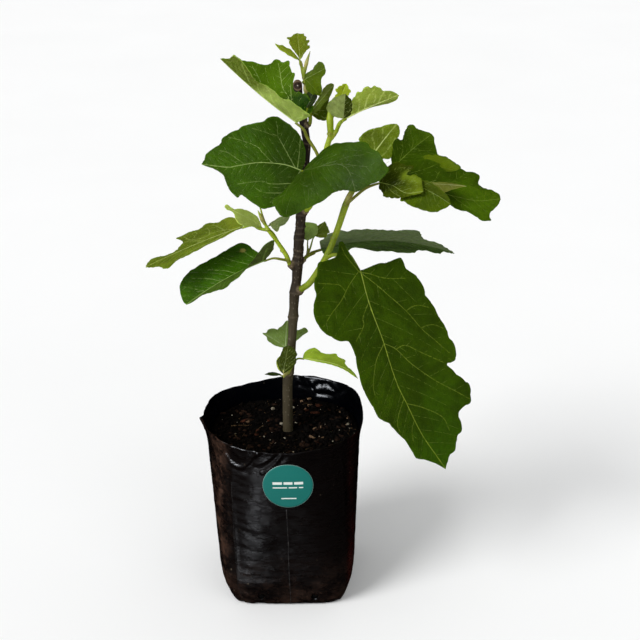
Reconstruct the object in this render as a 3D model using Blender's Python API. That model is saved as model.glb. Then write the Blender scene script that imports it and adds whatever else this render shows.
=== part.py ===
"""A young fig tree in a black polythene planter bag, with its potting soil and a plain round label.

Lengths are in millimetres here and are turned to metres as each mesh is made. +Z is up, the front
faces -Y, and the origin is the centre of the bag's underside.
"""

import math

import bmesh
import bpy
from mathutils import Quaternion, Vector, noise

mm = 0.001

# Bag
bag_height = 192.0
bag_base_half = 68.0
bag_top_half = 79.0
bag_rim_flare = 2.5
bag_rim_skew = 3.0
bag_rim_lift = 3.0
bag_base_tuck = 8.5
bag_base_tuck_height = 45.0
bag_lean = (-5.0, 2.0)
bag_wall = 1.0
bag_sides = 32
bag_levels = (0, 5, 15, 35, 75, 120, 150, 170, 181, 192)
drain_hole_radius = 3.5
drain_hole_height = 12.0
drain_hole_spacing = 52.0
drain_hole_reach = 25.0

# Soil
soil_top = 170.0
soil_crumb_height = 1.6
touch_gap = 0.3

# Label
label_radius = 25.0
label_height = 152.0
label_turn = 4.0
label_thickness = 0.6

# Plant
blade_thickness = 0.7
stem_in_soil = 60.0
stem_foot = (0.0, 6.0)

# Along the trunk: x, y, z and radius
trunk_route = (
    (0, 6, 110, 5.2),
    (0, 6, 170, 5.3),
    (0, 6, 222, 5.0),
    (2, 6, 240, 5.2),
    (5, 6, 273, 4.3),
    (6, 6, 290, 4.5),
    (6.5, 6, 298, 5.4),
    (7, 6, 306, 4.5),
    (8, 6, 324, 5.2),
    (10, 6, 336, 4.6),
    (11, 6, 352, 5.4),
    (12, 6, 366, 4.6),
    (12.5, 6, 379, 4.9),
    (14, 6, 392, 4.5),
    (15, 6, 406, 4.9),
    (17, 6, 430, 4.0),
    (18.5, 6, 449, 3.9),
    (20.5, 6, 472, 3.9),
    (20, 6, 480, 3.7),
    (17.3, 3, 499, 4.0),
    (13.5, 0, 519, 4.1),
    (12.3, -3, 538, 4.4),
)

# Brown knuckles on the trunk: foot on its axis, direction out, length and radius
knuckles = {
    "right_branch": ((8, 6, 322), (15, -12, 17), 10.6, 4.0),
    "left_shoot": ((11, 6, 348), (-12, -5, 12), 10.0, 3.6),
    "middle_shoot": ((15, 6, 405), (9, -12, 13), 9.8, 3.5),
    "back_shoot": ((11.5, 6, 354), (10, 7, 6), 7.4, 3.0),
    "base_shoot": ((1.5, 6, 236), (-1, -10, 4), 7.0, 3.2),
    "top_shoot": ((18, 4, 491), (7, -6, 7), 8.0, 2.6),
}

leaves = {
    "leaf_top_left": dict(
        base=(12, -14, 501), heading=163, rise=31, roll=-8, length=91, droop=-12, spread=1.0,
        fold_left=(56, 62), fold_right=(35, 25), teeth=12, tooth_depth=1.0, wave=1.5,
        left=((31, -3), (29, 17), (22, 38), (14, 50), (22, 66), (23, 78), (12, 86)),
        right=((5, 9), (15, 16), (25, 24), (33, 32), (42, 41), (44, 48), (36, 57), (22, 69), (13, 80)),
    ),
    "leaf_centre_left": dict(
        base=(16, -23, 458), heading=-166, rise=10, roll=-50, length=93, droop=10, spread=1.0,
        teeth=12, tooth_depth=0.8, wave=1.5,
        left=((5, 4), (19, 5), (35, 15), (41, 31), (38, 49), (27, 66), (18, 73), (7, 80)),
        right=((7, -5), (28, -5), (47, 8), (54, 22), (47, 40), (36, 60), (24, 77), (10, 90)),
    ),
    "leaf_centre_front": dict(
        base=(17, -32, 460), heading=-55, rise=35, roll=40, length=72, droop=75, sweep=45,
        fold_right=(16, 8), teeth=12, tooth_depth=0.8, wave=1.0, spread=1.2,
        left=((12, 9), (29, 32), (40, 52), (42, 68), (36, 81), (22, 82), (8, 75)),
        right=((12, 1), (30, 8), (46, 10), (54, 14), (58, 25), (55, 37), (43, 45), (24, 53), (8, 61)),
    ),
    "leaf_young_right": dict(
        base=(55, -22, 507), heading=13, rise=24, roll=-60, length=54, droop=10,
        fold_left=(30, 30), teeth=9, tooth_depth=1.6, wave=0.8,
        left=((8, 6), (15, 25), (18, 38), (13, 48)),
        right=((14, 5), (22, 18), (25, 30), (20, 40), (8, 49)),
    ),
    "leaf_young_pale": dict(
        base=(54, -36, 511), heading=50, rise=83, roll=50, length=22, droop=0,
        teeth=6, tooth_depth=0.8, wave=0.5,
        left=((8, 1), (16, 8), (13, 15), (7, 19)),
        right=((5, 2), (7, 8), (6, 16)),
    ),
    "leaf_young_tiny": dict(
        base=(47, -18, 515), heading=75, rise=76, roll=-25, length=21, droop=5,
        fold_left=(20, 20), fold_right=(20, 20), teeth=6, tooth_depth=1.4, wave=0.4, spread=1.4,
        left=((4, 3), (8, 10), (5, 17)),
        right=((4, 3), (8, 10), (5, 17)),
    ),
    "leaf_tip_upright": dict(
        base=(15, -2, 556), heading=114, rise=77, roll=0, length=24, droop=5,
        fold_left=(12, 12), fold_right=(12, 12), teeth=8, tooth_depth=1.3, wave=0.5, spread=1.0,
        left=((3, 5), (7, 12), (10, 19), (4, 22)),
        right=((4, 2), (10, 9), (9, 15), (11, 19), (4, 23)),
    ),
    "leaf_tip_left": dict(
        base=(14, 2, 556), heading=-175, rise=34, roll=-30, length=26, droop=0,
        fold_left=(15, 10), fold_right=(15, 10), teeth=6, tooth_depth=0.5, wave=0.4,
        left=((3, 6), (5, 13), (4, 20)),
        right=((3, 5), (5, 12), (3, 20)),
    ),
    "leaf_top_right": dict(
        base=(19, -6, 539), heading=-12, rise=30, roll=40, length=22, droop=0,
        fold_left=(15, 15), teeth=7, tooth_depth=0.8, wave=0.6,
        left=((4, 2), (8, 9), (10, 15), (8, 20)),
        right=((12, 0), (24, 8), (27, 13), (18, 15), (13, 17), (6, 21)),
    ),
    "leaf_top_folded": dict(
        base=(24, 5, 505), heading=-5, rise=51, roll=58, length=35, droop=0,
        fold_left=(50, 50), teeth=8, tooth_depth=0.5, wave=0.8,
        left=((4, 5), (8, 15), (7, 26), (3, 32)),
        right=((9, 0), (22, 9), (24, 18), (14, 28), (5, 33)),
    ),
    "leaf_top_blue": dict(
        base=(21, -14, 515), heading=28, rise=62, roll=10, length=20, droop=0,
        fold_left=(10, 10), teeth=6, tooth_depth=0.4, wave=0.4,
        left=((5, 3), (7, 10), (4, 17)),
        right=((5, 3), (7, 10), (4, 17)),
    ),
    "leaf_right_upright": dict(
        base=(75, -28, 465), heading=20, rise=55, roll=-80, length=47, droop=15,
        teeth=10, tooth_depth=1.0, wave=0.8,
        left=((14, 2), (21, 9), (19, 19), (12, 33), (9, 41)),
        right=((12, 1), (22, 10), (24, 20), (17, 32), (6, 42)),
    ),
    "leaf_right_back": dict(
        base=(100, -20, 459), heading=41, rise=31, roll=20, length=59, droop=20,
        teeth=12, tooth_depth=1.0, wave=1.2, spread=1.7,
        left=((13, 14), (21, 33), (15, 37), (19, 46), (23, 56), (12, 58)),
        right=((20, 8), (42, 24), (50, 38), (38, 41), (25, 39), (15, 47), (8, 54)),
    ),
    "leaf_right_long": dict(
        base=(102, -34, 460), heading=-21, rise=6, roll=28, length=101, droop=40,
        teeth=13, tooth_depth=0.9, wave=1.5,
        left=((10, 4), (19, 26), (16, 38), (8, 43), (12, 54), (17, 65), (14, 77), (4, 81), (6, 93)),
        right=((16, 4), (33, 28), (30, 56), (33, 72), (37, 88), (29, 98), (20, 92), (11, 97)),
    ),
    "leaf_right_young": dict(
        base=(87, -56, 457), heading=-51, rise=14, roll=45, length=48, droop=35,
        teeth=11, tooth_depth=1.3, wave=0.8, spread=1.8,
        left=((8, -4), (19, 0), (24, 16), (20, 32), (14, 29), (14, 37), (6, 45)),
        right=((8, 4), (14, 14), (16, 22), (12, 32), (6, 43)),
    ),
    "leaf_right_narrow": dict(
        base=(121, -59, 457), heading=-28, rise=9, roll=0, length=46, droop=10,
        fold_left=(60, 60), teeth=8, tooth_depth=0.5, wave=0.5,
        left=((4, 6), (7, 18), (5, 30), (2, 40)),
        right=((8, 6), (12, 18), (9, 30), (3, 40)),
    ),
    "leaf_right_low": dict(
        base=(114, -67, 460), heading=-41, rise=-4, roll=30, length=43, droop=30,
        fold_left=(70, 70), teeth=9, tooth_depth=0.8, wave=0.8,
        left=((5, 6), (8, 18), (5, 33)),
        right=((14, 0), (21, 12), (20, 28), (14, 37), (6, 42)),
    ),
    "leaf_left_long": dict(
        base=(-41, 0, 395), heading=-174, rise=-18, roll=1, length=102, droop=8,
        teeth=13, tooth_depth=1.2, wave=1.5,
        left=((10, 2), (14, 24), (18, 44), (20, 62), (34, 73), (20, 84), (8, 94)),
        right=((12, 2), (34, 10), (36, 24), (44, 40), (46, 52), (46, 66), (24, 64), (10, 70), (5, 86)),
    ),
    "leaf_left_pale": dict(
        base=(-23, 0, 395), heading=-168, rise=38, roll=-30, length=41, droop=15,
        teeth=8, tooth_depth=0.8, wave=0.8,
        left=((7, 2), (12, 12), (9, 25), (5, 34)),
        right=((5, 3), (8, 14), (7, 26), (4, 35)),
    ),
    "leaf_left_small": dict(
        base=(-16, 5, 395), heading=11, rise=21, roll=0, length=22, droop=0,
        teeth=6, tooth_depth=0.6, wave=0.5,
        left=((6, 0), (11, 7), (7, 16)),
        right=((8, 0), (14, 7), (9, 16)),
    ),
    "leaf_left_glossy": dict(
        base=(-20, -4, 362), heading=-156, rise=-13, roll=-22, length=88, droop=25,
        fold_left=(72, 15), teeth=13, tooth_depth=0.6, wave=1.0,
        left=((22, -8), (34, -6), (22, 12), (19, 28), (15, 46), (9, 64), (5, 78)),
        right=((10, -4), (26, 2), (33, 12), (33, 32), (31, 54), (31, 72), (24, 86), (10, 91)),
    ),
    "leaf_base_back": dict(
        base=(-2, 13, 260), heading=85, rise=57, roll=0, length=30, droop=20,
        teeth=8, tooth_depth=0.7, wave=0.6,
        left=((12, 4), (22, 14), (19, 20), (10, 20), (7, 27)),
        right=((12, 6), (22, 19), (12, 20), (6, 27)),
    ),
    "leaf_base_front": dict(
        base=(-4, -9, 242), heading=40, rise=76, roll=0, length=30, droop=0,
        teeth=7, tooth_depth=0.6, wave=0.5,
        left=((8, 1), (12, 9), (9, 20)),
        right=((8, 3), (12, 14), (8, 25)),
    ),
    "leaf_base_right": dict(
        base=(16, -8, 259), heading=-17, rise=1, roll=0, length=61, droop=10, hook=45,
        fold_right=(-28, -28), teeth=10, tooth_depth=1.3, wave=0.8,
        left=((12, -2), (19, 5), (15, 18), (18, 30), (12, 41), (5, 52)),
        right=((7, 2), (11, 16), (10, 30), (9, 44), (5, 54)),
    ),
    "leaf_base_tiny": dict(
        base=(-6, -4, 239), heading=-166, rise=12, roll=0, length=17, droop=10,
        teeth=5, tooth_depth=0.4, wave=0.3,
        left=((3, 4), (4, 10)),
        right=((3, 4), (4, 10)),
    ),
    "leaf_mid_back": dict(
        base=(21, 10, 377), heading=83, rise=42, roll=0, length=20, droop=0,
        teeth=6, tooth_depth=0.5, wave=0.5,
        left=((7, 3), (10, 12), (6, 19)),
        right=((6, 4), (9, 10), (7, 18)),
    ),
    "leaf_mid_small": dict(
        base=(27, 18, 379), heading=37, rise=41, roll=0, length=18, droop=0,
        teeth=6, tooth_depth=0.5, wave=0.5,
        left=((5, 3), (5, 10)),
        right=((10, 1), (16, 8), (8, 14)),
    ),
    "leaf_back_right": dict(
        base=(34, 20, 365), heading=6, rise=13, roll=-6, length=135, droop=35,
        teeth=14, tooth_depth=1.2, wave=2.0,
        left=((26, 2), (46, 20), (47, 44), (44, 66), (47, 86), (54, 98), (34, 105), (24, 118), (14, 129)),
        right=((24, 2), (38, 22), (43, 46), (45, 72), (30, 90), (20, 112), (10, 128)),
    ),
    "leaf_large_hanging": dict(
        base=(71, -42, 366), heading=-33, rise=-53, roll=18, length=215, droop=25,
        teeth=21, tooth_depth=1.8, wave=3.0,
        left=(
            (14, -2), (31, 5), (47, 9), (51, 22), (54, 40), (55, 64), (60, 92), (55, 120),
            (58, 141), (52, 150), (58, 163), (52, 172), (36, 174), (34, 189), (16, 204),
        ),
        right=(
            (3, -18), (10, -30), (26, -23), (48, -16), (58, 0), (69, 18), (65, 36), (55, 52),
            (55, 73), (59, 98), (57, 125), (45, 152), (30, 186), (12, 206),
        ),
    ),
}

# Green shoots: the route of each stem from its knuckle, with radius, and the stalks that leave it
shoots = {
    "right_branch": dict(
        route=(
            (23, -6, 339, 3.2), (33, -12, 357, 3.1), (43, -18, 380, 3.0), (51, -23, 405, 3.0),
            (57, -27, 426, 3.3), (63, -29, 440, 2.6), (72, -30, 449, 2.2), (82, -30, 453, 2.0),
            (93, -31, 455, 1.4),
        ),
        stalks={
            "leaf_large_hanging": ((35, -13, 361), (41, -22, 372), (49, -29, 377), (60, -35, 375)),
            "leaf_right_young": ((58, -28, 427), (66, -37, 438), (75, -47, 449)),
            "leaf_right_upright": ((66, -29, 444), (70, -29, 453)),
            "leaf_right_back": ((86, -29, 454),),
            "leaf_right_long": ((88, -30, 455),),
            "leaf_right_narrow": ((92, -31, 455), (97, -42, 459), (107, -51, 460)),
            "leaf_right_low": ((86, -31, 453), (96, -49, 445), (104, -60, 449)),
        },
    ),
    "left_shoot": dict(
        route=(
            (0, 2, 365, 2.6), (-9, 1, 380, 2.4), (-17, 0, 392, 2.2), (-21, 0, 401, 2.4),
            (-22, 0, 407, 2.0), (-22.5, 0, 412, 0.6),
        ),
        stalks={
            "leaf_left_long": ((-17, 0, 391), (-26, 0, 393)),
            "leaf_left_pale": ((-19, 0, 393),),
            "leaf_left_small": ((-3, 2, 370), (-8, 3, 380), (-13, 4, 388)),
            "leaf_left_glossy": ((4, 3, 358), (-1, 1, 360), (-7, -1, 362)),
        },
    ),
    "middle_shoot": dict(
        route=(
            (24, -6, 419, 2.8), (31, -12, 440, 2.7), (36, -16, 461, 2.6), (39, -19, 478, 2.6),
            (42.5, -20, 490, 2.6), (42.5, -20.5, 496, 3.0), (42, -21, 506, 3.4), (41.5, -21, 514, 1.4),
        ),
        stalks={
            "leaf_young_right": ((43, -20, 487), (48, -21, 495)),
            "leaf_young_pale": ((43, -20, 489), (48, -26, 499)),
            "leaf_young_tiny": ((42, -20, 500), (45, -19, 508)),
            "leaf_top_left": ((35, -15.5, 460), (29, -14, 474), (21, -13, 487)),
            "leaf_centre_left": ((30, -11, 436), (24, -8, 446)),
            "leaf_centre_front": ((28, -10, 430), (26, -23, 442)),
        },
    ),
    "top_shoot": dict(
        route=(
            (24, 0, 503, 1.9), (23, 0.5, 515, 1.8), (21.5, 0.5, 528, 1.8), (18.5, 0.5, 539, 1.9),
            (16.5, 0.5, 548, 1.5), (15.5, 0.5, 554, 1.0),
        ),
        stalks={
            "leaf_top_folded": ((24, 1, 502),),
            "leaf_top_blue": ((23.5, 0, 505), (22, -8, 510)),
            "leaf_top_right": ((20.5, 0, 532),),
            "leaf_tip_upright": ((16.5, 0.5, 548),),
            "leaf_tip_left": ((16.5, 0.5, 547),),
        },
    ),
    "back_shoot": dict(
        route=((20, 12, 359.5, 2.0), (23, 13, 361, 1.8)),
        stalks={
            "leaf_mid_back": ((20, 12, 360), (21, 11, 368)),
            "leaf_mid_small": ((21, 12, 360), (24, 12, 370)),
            "leaf_back_right": ((21, 13, 360), (28, 17, 362)),
        },
    ),
    "base_shoot": dict(
        route=((0.5, -4, 240.5, 1.8), (0, -6, 243, 1.6), (-0.5, -7, 247, 0.7)),
        stalks={
            "leaf_base_right": ((1, -4, 240), (6, -6, 246), (11, -8, 254)),
            "leaf_base_front": ((0, -5, 240),),
            "leaf_base_tiny": ((0, -4, 239.5),),
            "leaf_base_back": ((-1, -4, 240), (-8, -1, 243), (-10, 8, 249)),
        },
    ),
}

colours = {
    "bag": (0.012, 0.011, 0.013, 0.35),
    "soil": (0.035, 0.022, 0.015, 0.95),
    "label": (0.012, 0.16, 0.13, 0.5),
    "bark": (0.075, 0.06, 0.045, 0.8),
    "shoot": (0.28, 0.40, 0.04, 0.5),
    "leaf": (0.035, 0.12, 0.012, 0.5),
}


def material(name):
    """A plain Principled BSDF in one of the colours above."""
    if name in bpy.data.materials:
        return bpy.data.materials[name]
    made = bpy.data.materials.new(name)
    made.use_nodes = True
    red, green, blue, roughness = colours[name]
    shader = made.node_tree.nodes["Principled BSDF"]
    shader.inputs["Base Color"].default_value = (red, green, blue, 1)
    shader.inputs["Roughness"].default_value = roughness
    shader.inputs["Metallic"].default_value = 0
    made.diffuse_color = (red, green, blue, 1)
    return made


def add_object(name, data, look):
    made = bpy.data.objects.new(name, data)
    bpy.context.scene.collection.objects.link(made)
    data.materials.clear()
    data.materials.append(material(look))
    return made


def add_mesh(name, bm, look):
    """Turns a bmesh in millimetres into an object in metres."""
    bmesh.ops.scale(bm, vec=(mm, mm, mm), verts=bm.verts)
    mesh = bpy.data.meshes.new(name)
    bm.to_mesh(mesh)
    bm.free()
    mesh.shade_smooth()
    return add_object(name, mesh, look)


def spline_point(before, start, end, after, share):
    """A point of a Catmull-Rom curve between start and end."""
    square = share * share
    cube = square * share
    return 0.5 * (
        2 * start
        + (end - before) * share
        + (2 * before - 5 * start + 4 * end - after) * square
        + (3 * start - before - 3 * end + after) * cube
    )


def smooth_path(points, count):
    """count points at equal steps along a smooth curve through the given ones."""
    points = [Vector(point) for point in points]
    ends = [2 * points[0] - points[1], *points, 2 * points[-1] - points[-2]]
    fine = []
    for i in range(len(points) - 1):
        for step in range(16):
            fine.append(spline_point(*ends[i:i + 4], step / 16))
    fine.append(points[-1])
    reach = [0.0]
    for a, b in zip(fine, fine[1:]):
        reach.append(reach[-1] + (b - a).length)
    path = []
    k = 0
    for i in range(count):
        target = reach[-1] * i / (count - 1)
        while k < len(fine) - 2 and reach[k + 1] < target:
            k += 1
        share = (target - reach[k]) / max(reach[k + 1] - reach[k], 1e-9)
        path.append(fine[k].lerp(fine[k + 1], min(share, 1)))
    return path


def bag_outline(angle, height, inset=0.0):
    """A point of the bag's wall: a square with round corners, rounder towards the rim."""
    rise = max(height, 0) / bag_height
    half = bag_base_half + (bag_top_half - bag_base_half) * rise
    half -= bag_base_tuck * max(0, 1 - height / bag_base_tuck_height) ** 2
    power = 2.3 + 3.2 * (1 - rise) ** 1.5
    x, y = math.cos(angle), math.sin(angle)
    radius = half / (abs(x) ** power + abs(y) ** power) ** (1 / power)
    free = max(0, (height - soil_top) / (bag_height - soil_top))
    radius += bag_rim_flare * free ** 1.5
    radius += bag_rim_skew * rise ** 2 * math.sin(2 * angle) * max(y, 0)
    crumple = 0.7 * math.sin(3 * angle + 1.1) + 0.5 * math.sin(7 * angle + height / 50)
    radius += crumple * (0.4 + 1.0 * free) - inset
    return Vector((bag_lean[0] * rise + radius * x, bag_lean[1] * rise + radius * y, height))


def rim_rise(angle):
    """The cut rim isn't level: it dips and lifts a little, and is highest at the back on the right."""
    lift = bag_rim_lift * (max(0, math.cos(angle - 1.0)) ** 2 - 0.5 * max(0, math.cos(angle - 2.2)) ** 6)
    return lift + 1.2 * math.sin(2 * angle + 0.6) + 0.9 * math.sin(5 * angle + 0.6)


def ring(bm, height, inset, lift=False):
    """A closed loop of edges on the bag's wall."""
    made = []
    for i in range(bag_sides):
        angle = 2 * math.pi * i / bag_sides
        point = bag_outline(angle, height, inset)
        if lift:
            point.z += rim_rise(angle)
        made.append(bm.verts.new(point))
    return made


def skin(bm, rings, inward=False):
    """Triangles between each ring and the next, which slope alike on the two faces of a wall."""
    for low, high in zip(rings, rings[1:]):
        for i in range(bag_sides):
            j = (i + 1) % bag_sides
            for corners in ((low[i], low[j], high[j]), (low[i], high[j], high[i])):
                bm.faces.new(corners[::-1] if inward else corners)


def boolean(target, operation, other, solver="EXACT"):
    """Keeps a Boolean modifier on target, which cuts or joins the other object."""
    modifier = target.modifiers.new(operation.lower(), "BOOLEAN")
    modifier.operation = operation
    modifier.solver = solver
    modifier.object = other
    other.hide_render = True
    other.display_type = "WIRE"


def cylinder(name, start, end, radius, sides):
    """A closed round bar between two points."""
    start, end = Vector(start), Vector(end)
    bm = bmesh.new()
    length = (end - start).length
    bmesh.ops.create_cone(
        bm, cap_ends=True, segments=sides, radius1=radius, radius2=radius, depth=length)
    turn = Vector((0, 0, 1)).rotation_difference(end - start)
    bmesh.ops.rotate(bm, cent=(0, 0, 0), matrix=turn.to_matrix(), verts=bm.verts)
    bmesh.ops.translate(bm, vec=(start + end) / 2, verts=bm.verts)
    return add_mesh(name, bm, "bag")


def make_bag():
    """An open film bag with two drain holes low on each of its four sides."""
    bm = bmesh.new()
    outer = [ring(bm, height, 0.0, height == bag_levels[-1]) for height in bag_levels]
    inner_levels = [bag_wall, *bag_levels[1:]]
    inner = [ring(bm, height, bag_wall, height == bag_levels[-1]) for height in inner_levels]
    skin(bm, outer)
    skin(bm, [outer[-1], inner[-1]])
    skin(bm, inner, inward=True)
    bm.faces.new(outer[0][::-1])
    bm.faces.new(inner[0])
    bmesh.ops.triangulate(bm, faces=[face for face in bm.faces if len(face.verts) > 4])
    bag = add_mesh("grow_bag", bm, "bag")
    for side in range(4):
        turn = Quaternion((0, 0, 1), math.pi / 2 * side)
        for offset in (-drain_hole_spacing / 2, drain_hole_spacing / 2):
            start = turn @ Vector((bag_base_half + drain_hole_reach, offset, drain_hole_height))
            end = turn @ Vector((bag_base_half - drain_hole_reach, offset, drain_hole_height))
            hole = cylinder("drain_hole", start, end, drain_hole_radius, 10)
            boolean(bag, "DIFFERENCE", hole)
    return bag


def make_soil():
    """The soil fills the bag to a little under its rim, with a plain hole where the stem stands."""
    bm = bmesh.new()
    inset = bag_wall + 2 * touch_gap
    levels = [bag_wall + touch_gap, *[height for height in bag_levels[1:] if height < soil_top]]
    rings = [ring(bm, height, inset) for height in levels]
    centre = Vector((*bag_lean, 0)) * soil_top / bag_height + Vector((0, 0, soil_top))
    for share in (1.0, 0.85, 0.68, 0.5, 0.3):
        loop = []
        for i in range(bag_sides):
            angle = 2 * math.pi * i / bag_sides
            edge = bag_outline(angle, soil_top, inset)
            point = centre.lerp(edge, share)
            point.z += soil_crumb_height * noise.noise(point * 0.09)
            loop.append(bm.verts.new(point))
        rings.append(loop)
    skin(bm, rings)
    bm.faces.new(rings[0][::-1])
    bm.faces.new(rings[-1])
    bmesh.ops.triangulate(bm, faces=[face for face in bm.faces if len(face.verts) > 4])
    soil = add_mesh("potting_soil", bm, "soil")
    x, y = stem_foot
    radius = trunk_route[0][3] + 2 * touch_gap + 0.2
    low = (x, y, soil_top - stem_in_soil - touch_gap)
    hole = cylinder("stem_hole", low, (x, y, soil_top + 10), radius, 16)
    boolean(soil, "DIFFERENCE", hole)


def make_label():
    """A thin round label that follows the bag's front."""
    bm = bmesh.new()
    front = -math.pi / 2 + math.radians(label_turn)
    reach = bag_top_half
    circles = [0.0, 0.4, 0.75, 1.0]
    bmesh.ops.create_circle(bm, cap_ends=False, segments=28, radius=label_radius)
    edge = list(bm.verts)
    centre = bm.verts.new((0, 0, 0))
    rows = [[bm.verts.new(vert.co * share) for vert in edge] for share in circles[1:-1]]
    rows.append(edge)
    for edge_line in list(bm.edges):
        bm.edges.remove(edge_line)
    for i in range(len(edge)):
        j = (i + 1) % len(edge)
        bm.faces.new((centre, rows[0][i], rows[0][j]))
        for low, high in zip(rows, rows[1:]):
            bm.faces.new((low[i], high[i], high[j], low[j]))
    for vert in bm.verts:
        angle = front + vert.co.x / reach
        vert.co = bag_outline(angle, label_height + vert.co.y, -touch_gap)
    bmesh.ops.recalc_face_normals(bm, faces=bm.faces)
    label = add_mesh("round_label", bm, "label")
    thicken(label, label_thickness, 1)


def thicken(piece, thickness, side):
    """Gives a sheet its thickness. A side of 1 grows it outwards, and -1 inwards."""
    solid = piece.modifiers.new("thickness", "SOLIDIFY")
    solid.thickness = thickness * mm
    solid.offset = side


def midrib(leaf):
    """Places and directions along a blade's middle: point, along, right and up."""
    steps = 40
    heading, rise = math.radians(leaf["heading"]), math.radians(leaf["rise"])
    along = Vector((math.cos(rise) * math.cos(heading), math.cos(rise) * math.sin(heading), math.sin(rise)))
    up = (Vector((0, 0, 1)) - along * along.z).normalized()
    up.rotate(Quaternion(along, math.radians(leaf["roll"])))
    right = along.cross(up)
    place = Vector(leaf["base"])
    found = []
    for i in range(steps + 1):
        share = i / steps
        sweep = Quaternion(up, -math.radians(leaf.get("sweep", 0)) * share)
        bend = math.radians(leaf["droop"]) * share + math.radians(leaf.get("hook", 0)) * share ** 3
        droop = Quaternion(sweep @ right, -bend)
        turn = droop @ sweep
        found.append((place.copy(), turn @ along, turn @ right, turn @ up))
        place += (turn @ along) * leaf["length"] / steps
    return found


def across_rib(leaf, spine, along):
    """The spine's point and directions at a distance along it, straight on past either end."""
    steps = len(spine) - 1
    place = along / leaf["length"] * steps
    low = min(max(int(place), 0), steps - 1)
    if place <= 0 or place >= steps:
        point, ahead, right, up = spine[0 if place <= 0 else steps]
        extra = along if place <= 0 else along - leaf["length"]
        return point + ahead * extra, right, up
    share = place - low
    point, _, right, up = (a.lerp(b, share) for a, b in zip(spine[low], spine[low + 1]))
    return point, right, up


def blade_point(leaf, spine, across, along):
    """Where a flat outline point lands on the bent and folded blade. Right of the rib is positive."""
    point, right, up = across_rib(leaf, spine, along)
    start, end = leaf.get("fold_right" if across > 0 else "fold_left", (0, 0))
    ease = min(max(along / leaf["length"], 0) / 0.6, 1)
    fold = math.radians(start + (end - start) * ease * ease * (3 - 2 * ease))
    width = abs(across)
    turns = along / leaf["length"] * 2.5 + (0.25 if across > 0 else 0)
    wave = leaf["wave"] * math.sin(2 * math.pi * turns) * (2 * width / leaf["length"]) ** 2
    return point + right * across * math.cos(fold) + up * (width * math.sin(fold) + wave)


def margin(leaf, side, count):
    """The toothed edge of one half of a blade, as flat points from the stalk to the tip."""
    length = leaf["length"]
    flat = smooth_path([(0, 0, 0), *((a, b, 0) for a, b in leaf[side]), (0, length, 0)], count)
    edge = []
    for i, point in enumerate(flat):
        ahead = flat[min(i + 1, count - 1)] - flat[max(i - 1, 0)]
        outward = Vector((ahead.y, -ahead.x, 0)).normalized()
        ease = min(1, 4 * i / count, 4 * (count - 1 - i) / count)
        tooth = leaf["tooth_depth"] * (0.5 if i % 2 else -0.5) * ease
        edge.append((max(point.x + outward.x * tooth, 0), point.y + outward.y * tooth))
    edge[0], edge[-1] = (0, 0), (0, length)
    return edge


def make_leaf(name, leaf):
    """A bent blade with its cut margin, split alike on both faces."""
    rows = 2 * leaf["teeth"]
    columns = 3 if leaf["length"] > 150 else 2 if leaf["length"] > 30 else 1
    spine = midrib(leaf)
    edges = {-1: margin(leaf, "left", rows + 1), 1: margin(leaf, "right", rows + 1)}
    bm = bmesh.new()
    bmesh.ops.create_grid(bm, x_segments=2 * columns, y_segments=rows, size=1)
    for vert in bm.verts:
        share = abs(vert.co.x)
        side = 1 if vert.co.x > 0 else -1
        row = round((vert.co.y + 1) / 2 * rows)
        across, along = edges[side][row]
        foot = leaf["length"] * (row / rows) ** leaf.get("spread", 1.6)
        vert.co = blade_point(leaf, spine, side * across * share, foot + (along - foot) * share)
    bmesh.ops.remove_doubles(bm, verts=bm.verts, dist=0.02)
    bmesh.ops.triangulate(bm, faces=bm.faces, quad_method="FIXED")
    blade = add_mesh(name, bm, "leaf")
    thicken(blade, blade_thickness, -1)
    return blade


def tube(name, points, sides, look):
    """A closed round tube through points that each carry a radius."""
    curve = bpy.data.curves.new(name, "CURVE")
    curve.dimensions = "3D"
    curve.bevel_depth = mm
    curve.bevel_resolution = (sides - 4) // 2
    curve.use_fill_caps = True
    spline = curve.splines.new("POLY")
    spline.points.add(len(points) - 1)
    for knot, point in zip(spline.points, points):
        knot.co = (point[0] * mm, point[1] * mm, point[2] * mm, 1)
        knot.radius = point[3]
    guide = bpy.data.objects.new(name, curve)
    bpy.context.scene.collection.objects.link(guide)
    bm = bmesh.new()
    bm.from_mesh(guide.to_mesh())
    guide.to_mesh_clear()
    bmesh.ops.remove_doubles(bm, verts=bm.verts, dist=1e-6)
    bmesh.ops.recalc_face_normals(bm, faces=bm.faces)
    mesh = bpy.data.meshes.new(name)
    bm.to_mesh(mesh)
    bm.free()
    mesh.shade_smooth()
    bpy.data.objects.remove(guide)
    return add_object(name, mesh, look)


def joined(name, pieces, look):
    """One body from overlapping pieces, by a union that is applied."""
    first, *others = pieces
    group = bpy.data.collections.new(name)
    for piece in others:
        group.objects.link(piece)
    union = first.modifiers.new("union", "BOOLEAN")
    union.operation = "UNION"
    union.solver = "MANIFOLD"
    union.operand_type = "COLLECTION"
    union.collection = group
    graph = bpy.context.evaluated_depsgraph_get()
    mesh = bpy.data.meshes.new_from_object(first.evaluated_get(graph))
    for piece in pieces:
        bpy.data.objects.remove(piece)
    bpy.data.collections.remove(group)
    mesh.shade_smooth()
    return add_object(name, mesh, look)


def spaced(points, spacing):
    """The smooth route through points, with one about every spacing millimetres."""
    reach = sum((Vector(a[:3]) - Vector(b[:3])).length for a, b in zip(points, points[1:]))
    count = max(round(reach / spacing), 2) + 1
    places = smooth_path([point[:3] for point in points], count)
    marks = [0.0]
    for a, b in zip(points, points[1:]):
        marks.append(marks[-1] + (Vector(a[:3]) - Vector(b[:3])).length)
    route = []
    for i, place in enumerate(places):
        target = marks[-1] * i / (count - 1)
        k = max(index for index in range(len(marks) - 1) if marks[index] <= target + 1e-6)
        share = min((target - marks[k]) / (marks[k + 1] - marks[k]), 1)
        radius = points[k][3] + (points[k + 1][3] - points[k][3]) * share
        route.append((*place, radius))
    return route


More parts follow.
